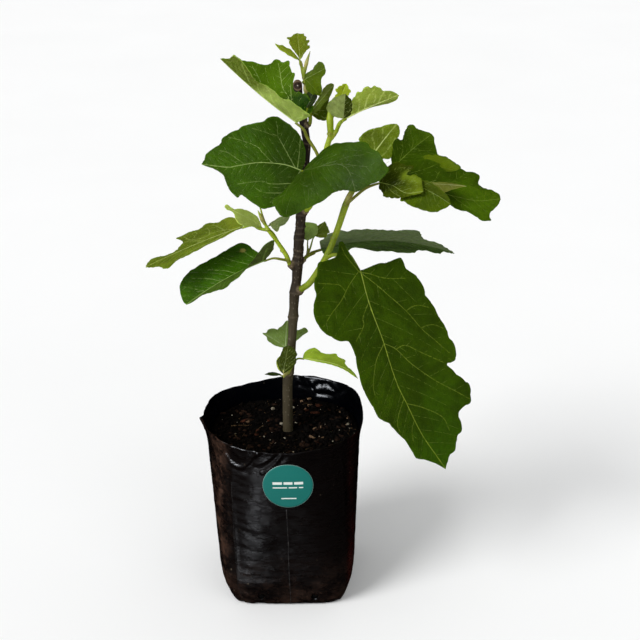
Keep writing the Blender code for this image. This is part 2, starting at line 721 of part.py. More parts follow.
def knuckle_end(name, extra):
    """A point out along a knuckle of the trunk."""
    foot, direction, length, _ = knuckles[name]
    return Vector(foot) + Vector(direction).normalized() * (length + extra)


def make_trunk():
    """The woody stem: its node swellings, a knuckle under each green shoot and the cut top."""
    pieces = [tube("main_stem", spaced(trunk_route, 7), 10, "bark")]
    for name, (foot, _, _, radius) in knuckles.items():
        end = knuckle_end(name, 0)
        pieces.append(tube(name + "_knuckle", [(*foot, radius), (*end, radius * 0.96)], 8, "bark"))
    joined("main_stem", pieces, "bark")


def stalk_route(leaf, starts, radius):
    """A leaf's stalk: out of the shoot, then just under the base of its blade."""
    spine = midrib(leaf)
    drop = blade_thickness + touch_gap + radius + 0.25
    behind, _, up_behind = across_rib(leaf, spine, -0.07 * leaf["length"] - 2)
    under, _, up_under = across_rib(leaf, spine, 1.5)
    points = [(*start, radius * 1.25) for start in starts]
    points.append((*(behind - up_behind * (drop + 0.8)), radius))
    points.append((*(under - up_under * drop), radius * 0.9))
    return points


def make_shoot(name, shoot):
    """A green stem with the stalks of its leaves, from just off its knuckle to its tip."""
    radius = shoot["route"][0][3]
    foot = [(*knuckle_end(name, touch_gap), radius), (*knuckle_end(name, touch_gap + 1.5), radius)]
    route = [foot[0], *spaced([foot[1], *shoot["route"]], 6)]
    pieces = [tube(name, route, 8, "shoot")]
    for leaf_name, starts in shoot["stalks"].items():
        leaf = leaves[leaf_name]
        radius = min(max(leaf["length"] / 80, 0.7), 1.5)
        route = spaced(stalk_route(leaf, starts, radius), 6)
        pieces.append(tube(leaf_name + "_stalk", route, 6, "shoot"))
    joined(name, pieces, "shoot")


def main():
    for old in list(bpy.data.objects):
        bpy.data.objects.remove(old)
    make_bag()
    make_soil()
    make_label()
    make_trunk()
    for name, shoot in shoots.items():
        make_shoot(name, shoot)
    for name, leaf in leaves.items():
        make_leaf(name, leaf)


main()
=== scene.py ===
import math
import random

import bmesh
import bpy
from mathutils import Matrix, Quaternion, Vector, noise
from mathutils.kdtree import KDTree


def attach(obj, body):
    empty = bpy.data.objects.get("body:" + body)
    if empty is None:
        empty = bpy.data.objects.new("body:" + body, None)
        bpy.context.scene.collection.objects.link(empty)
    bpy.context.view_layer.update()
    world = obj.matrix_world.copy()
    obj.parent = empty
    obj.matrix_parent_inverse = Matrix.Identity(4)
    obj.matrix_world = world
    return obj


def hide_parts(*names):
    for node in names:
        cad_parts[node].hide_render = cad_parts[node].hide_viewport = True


# A young fig tree in a black film planter bag. Lengths are in millimetres, and each mesh is
# turned to metres as it is finished. The front faces -Y and the bag stands on the floor at z = 0.

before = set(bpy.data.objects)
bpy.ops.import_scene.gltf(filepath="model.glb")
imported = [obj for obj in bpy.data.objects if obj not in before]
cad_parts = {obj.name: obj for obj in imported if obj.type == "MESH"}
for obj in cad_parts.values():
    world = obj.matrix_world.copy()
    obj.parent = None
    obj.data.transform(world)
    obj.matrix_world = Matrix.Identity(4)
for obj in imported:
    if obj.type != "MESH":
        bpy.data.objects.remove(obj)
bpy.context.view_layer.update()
mm = 0.001
print("frame loaded with", len(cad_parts), "nodes")

# Camera, floor and light

view = {
    "place": (0.033, -1.192, 0.825),
    "pitch": 23.9,  # degrees below level
    "lens": 74.14,
    "sensor": 36.0,
}

studio = {
    "floorSize": 14.0,
    "floorColour": (0.92, 0.92, 0.915),
    "skyColour": (0.98, 0.99, 1.0),
    "skyStrength": 0.55,
    "lamps": {  # where the light comes from, its spread in degrees and its strength
        "windowLight": ((-0.95, -0.75, 1.15), 26, 2.1),
        "frontLight": ((0.55, -1.0, 0.9), 50, 0.35),
        "sheenLight": ((-0.65, -0.73, 0.28), 26, 9.0),  # these two are only mirrored in shiny faces
        "sheenFromFloor": ((-0.28, -0.81, -0.52), 12, 0.38),
    },
}


def makeCamera():
    data = bpy.data.cameras.new("sceneCamera")
    data.lens = view["lens"]
    data.sensor_width = view["sensor"]
    data.clip_start, data.clip_end = 0.05, 60
    camera = bpy.data.objects.new("sceneCamera", data)
    camera.location = view["place"]
    camera.rotation_euler = (math.radians(90 - view["pitch"]), 0, 0)
    bpy.context.scene.collection.objects.link(camera)
    bpy.context.scene.camera = camera


def makeLamps():
    for name, (source, spread, strength) in studio["lamps"].items():
        data = bpy.data.lights.new(name, "SUN")
        data.angle = math.radians(spread)
        data.energy = strength
        lamp = bpy.data.objects.new(name, data)
        lamp.location = source
        lamp.rotation_euler = (-Vector(source)).to_track_quat("-Z", "Y").to_euler()
        if name.startswith("sheen"):
            data.color = (0.90, 0.94, 1.0)
            lamp.visible_diffuse = False
            lamp.visible_transmission = False
        bpy.context.scene.collection.objects.link(lamp)
    sky = bpy.data.worlds.new("studioSky")
    sky.use_nodes = True
    background = sky.node_tree.nodes["Background"]
    background.inputs["Color"].default_value = (*studio["skyColour"], 1)
    background.inputs["Strength"].default_value = studio["skyStrength"]
    sky.cycles_visibility.glossy = False
    bpy.context.scene.world = sky
    bpy.context.scene.view_settings.view_transform = "Standard"


# Shader helpers


def addNode(tree, kind, feeds=None, **settings):
    made = tree.nodes.new("ShaderNode" + kind)
    for key, value in settings.items():
        setattr(made, key, value)
    for key, value in (feeds or {}).items():
        if isinstance(value, bpy.types.NodeSocket):
            tree.links.new(value, made.inputs[key])
        else:
            made.inputs[key].default_value = value
    return made


def paint(colour, strength=1.0):
    return (*(strength * part for part in colour), 1)


def mixPaint(tree, factor, first, second, blend="MIX"):
    feeds = {0: factor, 6: first, 7: second}
    return addNode(tree, "Mix", feeds, data_type="RGBA", blend_type=blend).outputs[2]


def rescale(tree, value, low, high, start=0.0, end=1.0, soft=True):
    feeds = {"Value": value, "From Min": low, "From Max": high, "To Min": start, "To Max": end}
    kind = "SMOOTHSTEP" if soft else "LINEAR"
    return addNode(tree, "MapRange", feeds, interpolation_type=kind).outputs["Result"]


def combine(tree, operation, first, second=0.0):
    return addNode(tree, "Math", {0: first, 1: second}, operation=operation).outputs[0]


def stretched(tree, place, stretch):
    return addNode(tree, "Mapping", {"Vector": place, "Scale": stretch}).outputs["Vector"]


def cloudy(tree, place, scale, detail=4.0, rough=0.55):
    feeds = {"Vector": place, "Scale": scale, "Detail": detail, "Roughness": rough}
    return addNode(tree, "TexNoise", feeds).outputs["Fac"]


def cells(tree, place, scale, feature="DISTANCE_TO_EDGE"):
    feeds = {"Vector": place, "Scale": scale}
    return addNode(tree, "TexVoronoi", feeds, feature=feature).outputs["Distance"]


def bumped(tree, height, distance, strength=1.0, under=None):
    feeds = {"Height": height, "Distance": distance, "Strength": strength}
    if under is not None:
        feeds["Normal"] = under
    return addNode(tree, "Bump", feeds).outputs["Normal"]


def attribute(tree, name):
    return addNode(tree, "Attribute", attribute_name=name).outputs["Fac"]


def newLook(name, constants):
    look = bpy.data.materials.new(name)
    look.use_nodes = True
    tree = look.node_tree
    shader = tree.nodes["Principled BSDF"]
    for key, value in constants.items():
        shader.inputs[key].default_value = value
    place = addNode(tree, "TexCoord").outputs["Object"]
    return look, tree, shader, place


def plug(tree, shader, **sources):
    names = {"colour": "Base Color", "roughness": "Roughness", "normal": "Normal"}
    for key, source in sources.items():
        tree.links.new(source, shader.inputs[names[key]])


# Mesh helpers


def addPiece(name, bm, looks, nodes=()):
    bmesh.ops.scale(bm, vec=(mm, mm, mm), verts=bm.verts)
    mesh = bpy.data.meshes.new(name)
    bm.to_mesh(mesh)
    bm.free()
    mesh.shade_smooth()
    piece = bpy.data.objects.new(name, mesh)
    bpy.context.scene.collection.objects.link(piece)
    for look in looks:
        mesh.materials.append(look)
    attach(piece, "root")
    if nodes:
        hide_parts(*nodes)
    return piece


def evaluated(bm, name, prepare):
    # runs modifiers over a bmesh and gives it back with them applied
    mesh = bpy.data.meshes.new(name)
    bm.to_mesh(mesh)
    bm.free()
    for _ in range(2):
        mesh.materials.append(None)
    guide = bpy.data.objects.new(name, mesh)
    bpy.context.scene.collection.objects.link(guide)
    prepare(guide)
    graph = bpy.context.evaluated_depsgraph_get()
    made = bmesh.new()
    made.from_mesh(guide.evaluated_get(graph).to_mesh())
    bpy.data.objects.remove(guide)
    bpy.data.meshes.remove(mesh)
    return made


def smoothShare(low, high, value):
    share = min(max((value - low) / (high - low), 0), 1)
    return share * share * (3 - 2 * share)


def bell(distance, width):
    return math.exp(-(distance / width) ** 2)


def smoothPath(points, count):
    # count points at equal steps along a smooth curve through the given ones
    points = [Vector(point) for point in points]
    ends = [2 * points[0] - points[1], *points, 2 * points[-1] - points[-2]]
    fine = []
    for i in range(len(points) - 1):
        a, b, c, d = ends[i:i + 4]
        for step in range(16):
            t = step / 16
            fine.append(0.5 * (
                2 * b + (c - a) * t + (2 * a - 5 * b + 4 * c - d) * t * t
                + (3 * b - a - 3 * c + d) * t * t * t))
    fine.append(points[-1])
    reach = [0.0]
    for a, b in zip(fine, fine[1:]):
        reach.append(reach[-1] + (b - a).length)
    path = []
    k = 0
    for i in range(count):
        target = reach[-1] * i / (count - 1)
        while k < len(fine) - 2 and reach[k + 1] < target:
            k += 1
        share = (target - reach[k]) / max(reach[k + 1] - reach[k], 1e-9)
        path.append(fine[k].lerp(fine[k + 1], min(share, 1)))
    return path


def pathLength(points):
    return sum((Vector(a[:3]) - Vector(b[:3])).length for a, b in zip(points, points[1:]))


def spaced(points, spacing):
    # the smooth route through points, each with its radius, one about every spacing
    count = max(round(pathLength(points) / spacing), 2) + 1
    places = smoothPath([point[:3] for point in points], count)
    marks = [0.0]
    for a, b in zip(points, points[1:]):
        marks.append(marks[-1] + (Vector(a[:3]) - Vector(b[:3])).length)
    route = []
    for i, place in enumerate(places):
        target = marks[-1] * i / (count - 1)
        k = max(index for index in range(len(marks) - 1) if marks[index] <= target + 1e-6)
        share = min((target - marks[k]) / (marks[k + 1] - marks[k]), 1)
        route.append((*place, points[k][3] + (points[k + 1][3] - points[k][3]) * share))
    return route


def rollTube(bm, route, sides):
    # a grid rolled into a closed round tube along a route of places and radii
    rows = len(route) - 1
    centres = [Vector(point[:3]) for point in route]
    ahead = [(centres[min(i + 1, rows)] - centres[max(i - 1, 0)]).normalized() for i in range(rows + 1)]
    across = ahead[0].orthogonal().normalized()
    frames = []
    for i, direction in enumerate(ahead):
        if i:
            across.rotate(ahead[i - 1].rotation_difference(direction))
        across = (across - direction * across.dot(direction)).normalized()
        frames.append((across.copy(), direction.cross(across)))
    made = bmesh.ops.create_grid(bm, x_segments=sides, y_segments=rows, size=1)["verts"]
    for vert in made:
        angle = math.pi * vert.co.x
        i = round((vert.co.y + 1) / 2 * rows)
        first, second = frames[i]
        radius = route[i][3]
        vert.co = centres[i] + first * (radius * math.cos(angle)) + second * (radius * math.sin(angle))
    bmesh.ops.remove_doubles(bm, verts=made, dist=0.002)
    ends = [edge for edge in bm.edges if edge.is_boundary]
    bmesh.ops.holes_fill(bm, edges=ends, sides=0)


def fused(bm, voxel, rounds=2):
    # joins overlapping closed tubes into one skin, with soft crotches where they meet
    bmesh.ops.recalc_face_normals(bm, faces=bm.faces)

    def remesh(guide):
        melt = guide.modifiers.new("melt", "REMESH")
        melt.mode = "VOXEL"
        melt.voxel_size = voxel

    made = evaluated(bm, "fusing", remesh)
    for _ in range(rounds):
        bmesh.ops.smooth_vert(made, verts=made.verts, factor=0.5, use_axis_x=True, use_axis_y=True, use_axis_z=True)
    made.normal_update()
    return made


# Planter bag

bag = {
    "height": 192.0,
    "baseHalf": 68.0,
    "topHalf": 79.0,
    "rimFlare": 2.5,
    "rimSkew": 3.0,
    "rimLift": 3.0,
    "baseTuck": 8.5,
    "baseTuckHeight": 45.0,
    "lean": (-5.0, 2.0),
    "film": 0.5,
    "around": 300,
    "wallRows": 108,
    "baseRows": 10,
    "baseRound": 3.0,
    "holeRadius": 3.5,
    "holeHeight": 12.0,
    "holeSpacing": 52.0,
    "corners": (-127, -44, 46, 136),  # degrees round the bag where the side folds run down
    "foldCorner": (-173, 3.6),  # where the rim is pinched out, and how far
}

# Folds pressed into the film under the rim: places as degrees and height, how proud and how wide
filmFolds = (
    (((-132, 180), (-128, 173), (-122, 169), (-118, 170), (-114, 176), (-110, 184), (-105, 191)), 2.6, 1.7),
    (((-104, 166), (-99, 171), (-94, 179), (-90, 188)), 2.0, 1.9),
    (((-125, 190), (-120, 182), (-116, 179), (-112, 188)), 1.3, 1.7),
    (((-108, 176), (-100, 181), (-94, 190)), 1.1, 2.0),
    (((-80, 190), (-70, 183), (-56, 180), (-44, 190)), 0.9, 3.0),
    (((40, 190), (52, 178), (66, 176), (76, 190)), 2.0, 2.2),
    (((62, 186), (70, 181), (80, 184)), 1.5, 1.7),
    (((50, 184), (58, 188), (66, 186)), 1.3, 1.5),
    (((150, 190), (160, 176), (172, 172), (178, 190)), 1.2, 2.8),
)

label = {
    "radius": 25.0,
    "height": 152.0,
    "turn": 4.0,  # degrees to the right of the bag's front
    "thickness": 0.25,
    "lift": 0.55,
    "colour": (0.0065, 0.132, 0.112),
    "ink": (0.72, 0.76, 0.72),
    # plain bars where a nursery prints its words: left, right, height and half width
    "bars": (
        (-15, -6, 3.2, 1.3), (-4, 4.5, 3.2, 1.3), (6.5, 15, 3.2, 1.3), (-15, -1, -1.9, 0.5), (1, 9, -1.9, 0.5),
        (11, 15, -1.9, 0.5), (-7, 8, -14.5, 0.45),
    ),
}

soil = {
    "top": 170.0,
    "crumbHeight": 1.6,
    "gap": 0.7,
    "around": 230,
    "rings": 62,
    "wallRows": 14,
}


def bagOutline(angle, height, inset=0.0):
    rise = max(height, 0) / bag["height"]
    half = bag["baseHalf"] + (bag["topHalf"] - bag["baseHalf"]) * rise
    half -= bag["baseTuck"] * max(0, 1 - height / bag["baseTuckHeight"]) ** 2
    power = 2.3 + 3.2 * max(1 - rise, 0) ** 1.5
    x, y = math.cos(angle), math.sin(angle)
    radius = half / (abs(x) ** power + abs(y) ** power) ** (1 / power)
    free = max(0, (height - soil["top"]) / (bag["height"] - soil["top"]))
    radius += bag["rimFlare"] * free ** 1.5
    radius += bag["rimSkew"] * rise ** 2 * math.sin(2 * angle) * max(y, 0)
    crumple = 0.7 * math.sin(3 * angle + 1.1) + 0.5 * math.sin(7 * angle + height / 50)
    radius += crumple * (0.4 + 1.0 * free) - inset
    return Vector((bag["lean"][0] * rise + radius * x, bag["lean"][1] * rise + radius * y, height))


def rimRise(angle):
    lift = bag["rimLift"] * (max(0, math.cos(angle - 1.0)) ** 2 - 0.5 * max(0, math.cos(angle - 2.2)) ** 6)
    fine = 0.7 * noise.noise(Vector((6 * math.cos(angle), 6 * math.sin(angle), 2.0)))
    return lift + 1.2 * math.sin(2 * angle + 0.6) + 0.9 * math.sin(5 * angle + 0.6) + fine


def turnBetween(angle, degrees):
    # signed distance along the wall, in millimetres, from a direction given in degrees
    away = (math.degrees(angle) - degrees + 180) % 360 - 180
    return math.radians(away) * bag["topHalf"]


def nearLine(angle, height, line):
    # distance in millimetres from a line of (degrees, height) places on the wall
    best = 1e9
    for (d1, h1), (d2, h2) in zip(line, line[1:]):
        away = Vector((turnBetween(angle, d1), height - h1))
        step = Vector((math.radians(d2 - d1) * bag["topHalf"], h2 - h1))
        share = min(max(away.dot(step) / step.length_squared, 0), 1)
        best = min(best, (away - step * share).length)
    return best


def underLabel(angle, height):
    away = math.hypot(turnBetween(angle, -90 + label["turn"]), height - label["height"])
    return 1 - smoothShare(label["radius"] - 1, label["radius"] + 6, away)


def filmWrinkle(angle, height):
    # how far the film stands out from the plain bag shape
    spot = bagOutline(angle, height)
    x, y, z = spot
    front = bell(turnBetween(angle, -112), 34) * smoothShare(185, 150, height)
    broad = noise.noise(Vector((x / 34, y / 34, z / 22 + 4)))
    ripple = noise.noise(Vector((x / 24, y / 24, (z + 0.25 * x) / 7.5)))
    fine = noise.noise(Vector((x / 7, y / 7, z / 3.2 + 9)))
    slant = noise.noise(Vector(((x + z) / 16, (y - z) / 16, z / 9 + 20)))
    crease = (1 - min(abs(slant) * 5, 1)) ** 2
    out = 0.5 * broad + (0.22 + 0.60 * front) * ripple + 0.10 * fine + 0.22 * crease
    for corner in bag["corners"]:
        wander = 1.6 * noise.noise(Vector((corner, 0, z / 30)))
        out += 0.9 * bell(turnBetween(angle, corner) + wander, 1.9) * smoothShare(192, 165, height)
    for line, proud, width in filmFolds:
        if height > 150:
            away = nearLine(angle, height, line)
            out += proud * bell(away, width) - 0.45 * proud * bell(away, 3.2 * width)
    free = max(0, (height - soil["top"]) / (bag["height"] - soil["top"]))
    degrees, pinch = bag["foldCorner"]
    out += pinch * bell(turnBetween(angle, degrees), 3.4) * free
    out += 0.7 * free * noise.noise(Vector((x / 9, y / 9, 7)))
    tucked = bell(turnBetween(angle, -128), 26) * smoothShare(22, 2, height)
    out += 2.2 * tucked * noise.noise(Vector((x / 6, y / 6, z / 4)))
    return out * (1 - 0.93 * underLabel(angle, height))


def filmPoint(angle, height, inset=0.0):
    low = max(0, 1 - height / bag["baseRound"])
    curl = bag["baseRound"] * (1 - math.sqrt(max(1 - low * low, 0)))
    point = bagOutline(angle, height, inset + curl - filmWrinkle(angle, height))
    free = max(0, (height - soil["top"]) / (bag["height"] - soil["top"]))
    point.z += rimRise(angle) * free ** 3
    return point


def filmLook(inside):
    look, tree, shader, place = newLook("bagInside" if inside else "bagFilm", {"Specular IOR Level": 0.10 if inside else 0.16})
    x, y, z = addNode(tree, "SeparateXYZ", {"Vector": place}).outputs
    patchy = cloudy(tree, place, 14, 3)
    scuffed = cloudy(tree, stretched(tree, place, (60, 60, 260)), 1.0, 5, 0.6)
    film = mixPaint(tree, patchy, paint((0.0014, 0.0007, 0.0006)), paint((0.0042, 0.0024, 0.0020)))
    frontCorner = rescale(tree, y, -0.030, -0.058, 0.10, 1.0)  # the side faces stay black
    leftSide = combine(tree, "MULTIPLY", rescale(tree, x, -0.052, -0.080), frontCorner)
    low = rescale(tree, z, 0.075, 0.0)
    wanted = combine(tree, "MAXIMUM", leftSide, combine(tree, "MULTIPLY", low, 0.16))
    speckle = rescale(tree, cloudy(tree, place, 420, 5, 0.7), 0.52, 0.66)
    smear = rescale(tree, cloudy(tree, place, 55, 6, 0.7), 0.42, 0.72)
    # the inside face gets no dust and is painted bluish black, a painted cool reflection on the black film
    if inside:
        wanted, film = 0.0, mixPaint(tree, patchy, paint((0.0003, 0.0004, 0.0008)), paint((0.0009, 0.0014, 0.0034)))
    dusty = combine(tree, "MULTIPLY", wanted, combine(tree, "ADD", combine(tree, "MULTIPLY", smear, 0.55), combine(tree, "MULTIPLY", speckle, 0.35)))
    film = mixPaint(tree, dusty, film, paint((0.26, 0.130, 0.080)))
    # a painted red reflection down the right front edge of the outside film
    redReflection = combine(tree, "MULTIPLY", rescale(tree, x, 0.058, 0.078), rescale(tree, cloudy(tree, place, 22, 3), 0.25, 0.6))
    redReflection = combine(tree, "MULTIPLY", redReflection, frontCorner)
    film = mixPaint(tree, combine(tree, "MULTIPLY", redReflection, 0.0 if inside else 0.7), film, paint((0.120, 0.0045, 0.002)))
    specks = rescale(tree, cells(tree, stretched(tree, place, (1, 1, 0.8)), 95, "F1"), 0.10, 0.05)
    rare = rescale(tree, cloudy(tree, place, 30, 2), 0.50, 0.60)
    grit = combine(tree, "MULTIPLY", combine(tree, "MULTIPLY", specks, rare), combine(tree, "ADD", combine(tree, "MULTIPLY", low, 0.8), 0.12))
    film = mixPaint(tree, grit, film, paint((0.22, 0.17, 0.11)))
    rough = rescale(tree, scuffed, 0.3, 0.75, *((0.18, 0.28) if inside else (0.24, 0.35)))
    rough = combine(tree, "ADD", rough, combine(tree, "MULTIPLY", dusty, 0.35))
    wrinkles = cloudy(tree, stretched(tree, place, (80, 80, 190)), 1.0, 5, 0.6)
    pebbled = cloudy(tree, place, 240, 3, 0.5)
    normal = bumped(tree, wrinkles, 0.0009, 0.45)
    normal = bumped(tree, pebbled, 0.0003, 0.35, normal)
    plug(tree, shader, colour=film, roughness=rough, normal=normal)
    return look


def cutHole(bm, centre, outward, radius):
    # opens the film round a point and pulls the cut edge onto a circle
    def flatAway(place):
        away = place - centre
        return away - outward * away.dot(outward)

    near = [face for face in bm.faces if (face.calc_center_median() - centre).length < radius * 2.2]
    gone = [face for face in near if flatAway(face.calc_center_median()).length < radius * 0.98]
    bmesh.ops.delete(bm, geom=gone, context="FACES")
    for vert in bm.verts:
        if vert.is_boundary and (vert.co - centre).length < radius * 2.2:
            away = flatAway(vert.co)
            vert.co += away.normalized() * (radius - away.length)


def makeBag():
    bm = bmesh.new()
    rows = bag["baseRows"] + bag["wallRows"]
    made = bmesh.ops.create_grid(bm, x_segments=bag["around"], y_segments=rows, size=1)["verts"]
    for vert in made:
        angle = math.pi * vert.co.x
        row = round((vert.co.y + 1) / 2 * rows)
        if row < bag["baseRows"]:
            share = row / bag["baseRows"]
            vert.co = filmPoint(angle, 0.0) * share
            vert.co.z = 0.25 + 0.25 * noise.noise(vert.co / 14) * (1 - share)
        else:
            share = (row - bag["baseRows"]) / bag["wallRows"]
            vert.co = filmPoint(angle, bag["height"] * share ** 0.97)
    bmesh.ops.remove_doubles(bm, verts=bm.verts, dist=0.01)
    for side in range(4):
        turn = Quaternion((0, 0, 1), math.pi / 2 * side)
        for offset in (-bag["holeSpacing"] / 2, bag["holeSpacing"] / 2):
            aim = turn @ Vector((bag["baseHalf"] - 8, offset, 0))
            centre = filmPoint(math.atan2(aim.y, aim.x), bag["holeHeight"])
            cutHole(bm, centre, turn @ Vector((1, 0, 0)), bag["holeRadius"])
    bmesh.ops.recalc_face_normals(bm, faces=bm.faces)

    def giveThickness(guide):
        wall = guide.modifiers.new("wall", "SOLIDIFY")
        wall.thickness = bag["film"]
        wall.offset = -1
        wall.material_offset = 1

    bm = evaluated(bm, "bagSheet", giveThickness)
    return addPiece("film_bag", bm, [filmLook(False), filmLook(True)], ["grow_bag"])


def seamLook():
    look, tree, shader, place = newLook("pressedSeam", {"Specular IOR Level": 0.4})
    worn = cloudy(tree, place, 160, 4)
    colour = mixPaint(tree, rescale(tree, worn, 0.4, 0.7), paint((0.010, 0.009, 0.010)), paint((0.075, 0.068, 0.062)))
    plug(tree, shader, colour=colour, roughness=rescale(tree, worn, 0.3, 0.7, 0.35, 0.55), normal=bumped(tree, worn, 0.0003))
    return look


def makeSeams():
    # the thin pressed lines that run down the middle of the front and the back
    bm = bmesh.new()
    for degrees, top in ((-87.6, 124), (93, 186), (-127, 150), (136, 186)):
        route = []
        for i in range(46):
            height = 1.2 + (top - 1.2) * i / 45
            wander = 0.4 * noise.noise(Vector((degrees, 0, height / 25)))
            angle = math.radians(degrees + wander)
            point = filmPoint(angle, height, -0.04)
            thin = 0.30 if degrees in (-87.6, 93) else 0.12
            route.append((*point, thin * (0.8 + 0.4 * noise.noise(Vector((degrees, 5, height / 9))))))
        rollTube(bm, route, 6)
    return addPiece("film_seams", bm, [seamLook()])


# Label


def labelLook():
    look, tree, shader, place = newLook("labelPaper", {"Specular IOR Level": 0.08})
    flat = addNode(tree, "UVMap", uv_map="flat").outputs["UV"]
    x, y, _ = addNode(tree, "SeparateXYZ", {"Vector": flat}).outputs
    away = addNode(tree, "VectorMath", {0: flat}, operation="LENGTH").outputs["Value"]
    fibre = cloudy(tree, place, 900, 4, 0.6)
    ground = mixPaint(tree, fibre, paint(label["colour"], 0.86), paint(label["colour"], 1.14))
    # lighter towards the top of the label: a painted highlight
    ground = mixPaint(tree, rescale(tree, y, -1.0, 1.0, 0.0, 0.35), ground, paint(label["colour"], 1.35))
    marks = 0.0
    for left, right, height, half in label["bars"]:
        middle, reach = (left + right) / 2 / label["radius"], (right - left) / 2 / label["radius"]
        beside = combine(tree, "ABSOLUTE", combine(tree, "SUBTRACT", x, middle))
        above = combine(tree, "ABSOLUTE", combine(tree, "SUBTRACT", y, height / label["radius"]))
        inX = rescale(tree, beside, reach + 0.012, reach)
        inY = rescale(tree, above, half / label["radius"] + 0.012, half / label["radius"])
        marks = combine(tree, "MAXIMUM", marks, combine(tree, "MULTIPLY", inX, inY))
    colour = mixPaint(tree, combine(tree, "MULTIPLY", marks, 0.92), ground, paint(label["ink"]))
    rim = rescale(tree, away, 0.985, 1.0)
    colour = mixPaint(tree, rim, colour, paint((0.30, 0.42, 0.38)))
    plug(tree, shader, colour=colour, roughness=rescale(tree, fibre, 0.3, 0.7, 0.42, 0.52), normal=bumped(tree, fibre, 0.00008, 0.5))
    return look


def makeLabel():
    bm = bmesh.new()
    rings, around = 14, 88
    made = bmesh.ops.create_grid(bm, x_segments=around, y_segments=rings, size=1)["verts"]
    for vert in made:
        angle = math.pi * vert.co.x
        share = (vert.co.y + 1) / 2
        vert.co = Vector((math.cos(angle), math.sin(angle), 0)) * share
    bmesh.ops.remove_doubles(bm, verts=made, dist=0.0005)
    flat = bm.loops.layers.uv.new("flat")
    for face in bm.faces:
        for loop in face.loops:
            loop[flat].uv = loop.vert.co.xy
    front = -math.pi / 2 + math.radians(label["turn"])
    for vert in bm.verts:
        x, y = vert.co.xy * label["radius"]
        curl = 0.35 * smoothShare(0.7, 1.0, vert.co.length) * max(0, noise.noise(Vector((x / 12, y / 12, 1))))
        vert.co = filmPoint(front + x / bag["topHalf"], label["height"] + y, -(label["lift"] + curl))
    bmesh.ops.recalc_face_normals(bm, faces=bm.faces)

    def giveThickness(guide):
        paper = guide.modifiers.new("paper", "SOLIDIFY")
        paper.thickness = label["thickness"]
        paper.offset = -1

    bm = evaluated(bm, "labelSheet", giveThickness)
    return addPiece("label_disc", bm, [labelLook()], ["round_label"])


# Potting soil

bits = {
    "seed": 11,
    "crumbs": 1500,
    "barkChips": 150,
    "grains": 60,
    "straws": 70,
    # bits that catch the eye: x, y, length, width, turn in degrees
    "paleChips": (
        (14, 69, 6, 4, 20), (21, 74, 7, 4, -15), (22, 62, 8, 5, 10), (63, 32, 5, 4, 40), (62, 16, 9, 3, -25),
        (17, 51, 6, 3, 60), (27, 9, 9, 1.6, 50), (34, 13, 12, 1.4, 85), (25, -11, 8, 3, -20), (35, -11, 6, 2, 30),
        (-43, 22, 9, 3, 40), (54, 44, 4, 2, -60),
    ),
    "rustChips": (
        (32, 59, 9, 6, -10), (28, 44, 11, 6, -8), (19, 48, 7, 5, 25), (-31, 2, 6, 4, 70), (-32, -6, 5, 4, 20),
        (-22, -39, 6, 3, -30), (30, -23, 5, 5, 0), (-21, 28, 7, 3, 80), (-46, 26, 10, 5, 35),
    ),
    "paleGrains": (
        (-17, 50, 2.6), (5, 52, 1.9), (-7, 16, 2.4), (-3, -14, 1.5), (-12, -24, 1.4), (62, 16, 2.2), (8, 19, 1.6),
        (-24, -10, 1.1), (-60, -6, 1.1), (46, -20, 1.2), (20, 4, 1.0),
    ),
    "longStraws": ((-44, -1, 17, 68), (-39, 16, 14, 30), (-52, 15, 13, 5), (-30, 8, 12, 40), (66, 8, 13, -55)),
}


def soilHeight(x, y):
    broad = soil["crumbHeight"] * noise.noise(Vector((x, y, soil["top"])) * 0.09)
    lumps = 1.0 * noise.noise(Vector((x / 5.5, y / 5.5, 3))) + 0.6 * noise.noise(Vector((x / 2.6, y / 2.6, 8)))
    return soil["top"] + broad + lumps


def soilLook(name, dark, light, scale=230):
    look, tree, shader, place = newLook(name, {"Specular IOR Level": 0.03})
    lumps = cloudy(tree, place, scale, 6, 0.7)
    fine = cloudy(tree, place, scale * 5, 4, 0.6)
    colour = mixPaint(tree, rescale(tree, lumps, 0.38, 0.68), paint(dark), paint(light))
    colour = mixPaint(tree, rescale(tree, fine, 0.60, 0.72), colour, paint(light, 1.8))
    normal = bumped(tree, lumps, 0.0016)
    normal = bumped(tree, fine, 0.0004, 0.8, normal)
    plug(tree, shader, colour=colour, roughness=rescale(tree, lumps, 0.3, 0.7, 0.82, 0.98), normal=normal)
    return look


def makeSoil():
    bm = bmesh.new()
    rows = soil["wallRows"] + soil["rings"]
    made = bmesh.ops.create_grid(bm, x_segments=soil["around"], y_segments=rows, size=1)["verts"]
    rise = soil["top"] / bag["height"]
    centre = Vector((bag["lean"][0] * rise, bag["lean"][1] * rise, soil["top"]))
    inset = bag["film"] + soil["gap"]
    for vert in made:
        angle = math.pi * vert.co.x
        row = round((vert.co.y + 1) / 2 * rows)
        if row < soil["wallRows"]:
            height = 1.4 + (soil["top"] - 3.4) * row / (soil["wallRows"] - 1)
            vert.co = bagOutline(angle, height, inset + 0.6)
        else:
            share = 1 - (row - soil["wallRows"]) / soil["rings"]
            edge = bagOutline(angle, soil["top"], inset - 0.2)
            vert.co = centre.lerp(edge, share)
            vert.co.z = soilHeight(vert.co.x, vert.co.y) - 1.2 * smoothShare(0.96, 1, share)
    bmesh.ops.remove_doubles(bm, verts=made, dist=0.01)
    bmesh.ops.holes_fill(bm, edges=[edge for edge in bm.edges if edge.is_boundary], sides=0)
    bmesh.ops.recalc_face_normals(bm, faces=bm.faces)
    look = soilLook("pottingMix", (0.0004, 0.0003, 0.0003), (0.0042, 0.0028, 0.0019))
    return addPiece("potting_mix", bm, [look], ["potting_soil"])


def soilSpot(draw):
    while True:
        angle, share = draw.uniform(-math.pi, math.pi), math.sqrt(draw.random()) * 0.965
        edge = bagOutline(angle, soil["top"], 2.5)
        spot = Vector((edge.x, edge.y)) * share
        if (spot - Vector((0, 6))).length > 7.5:
            return spot


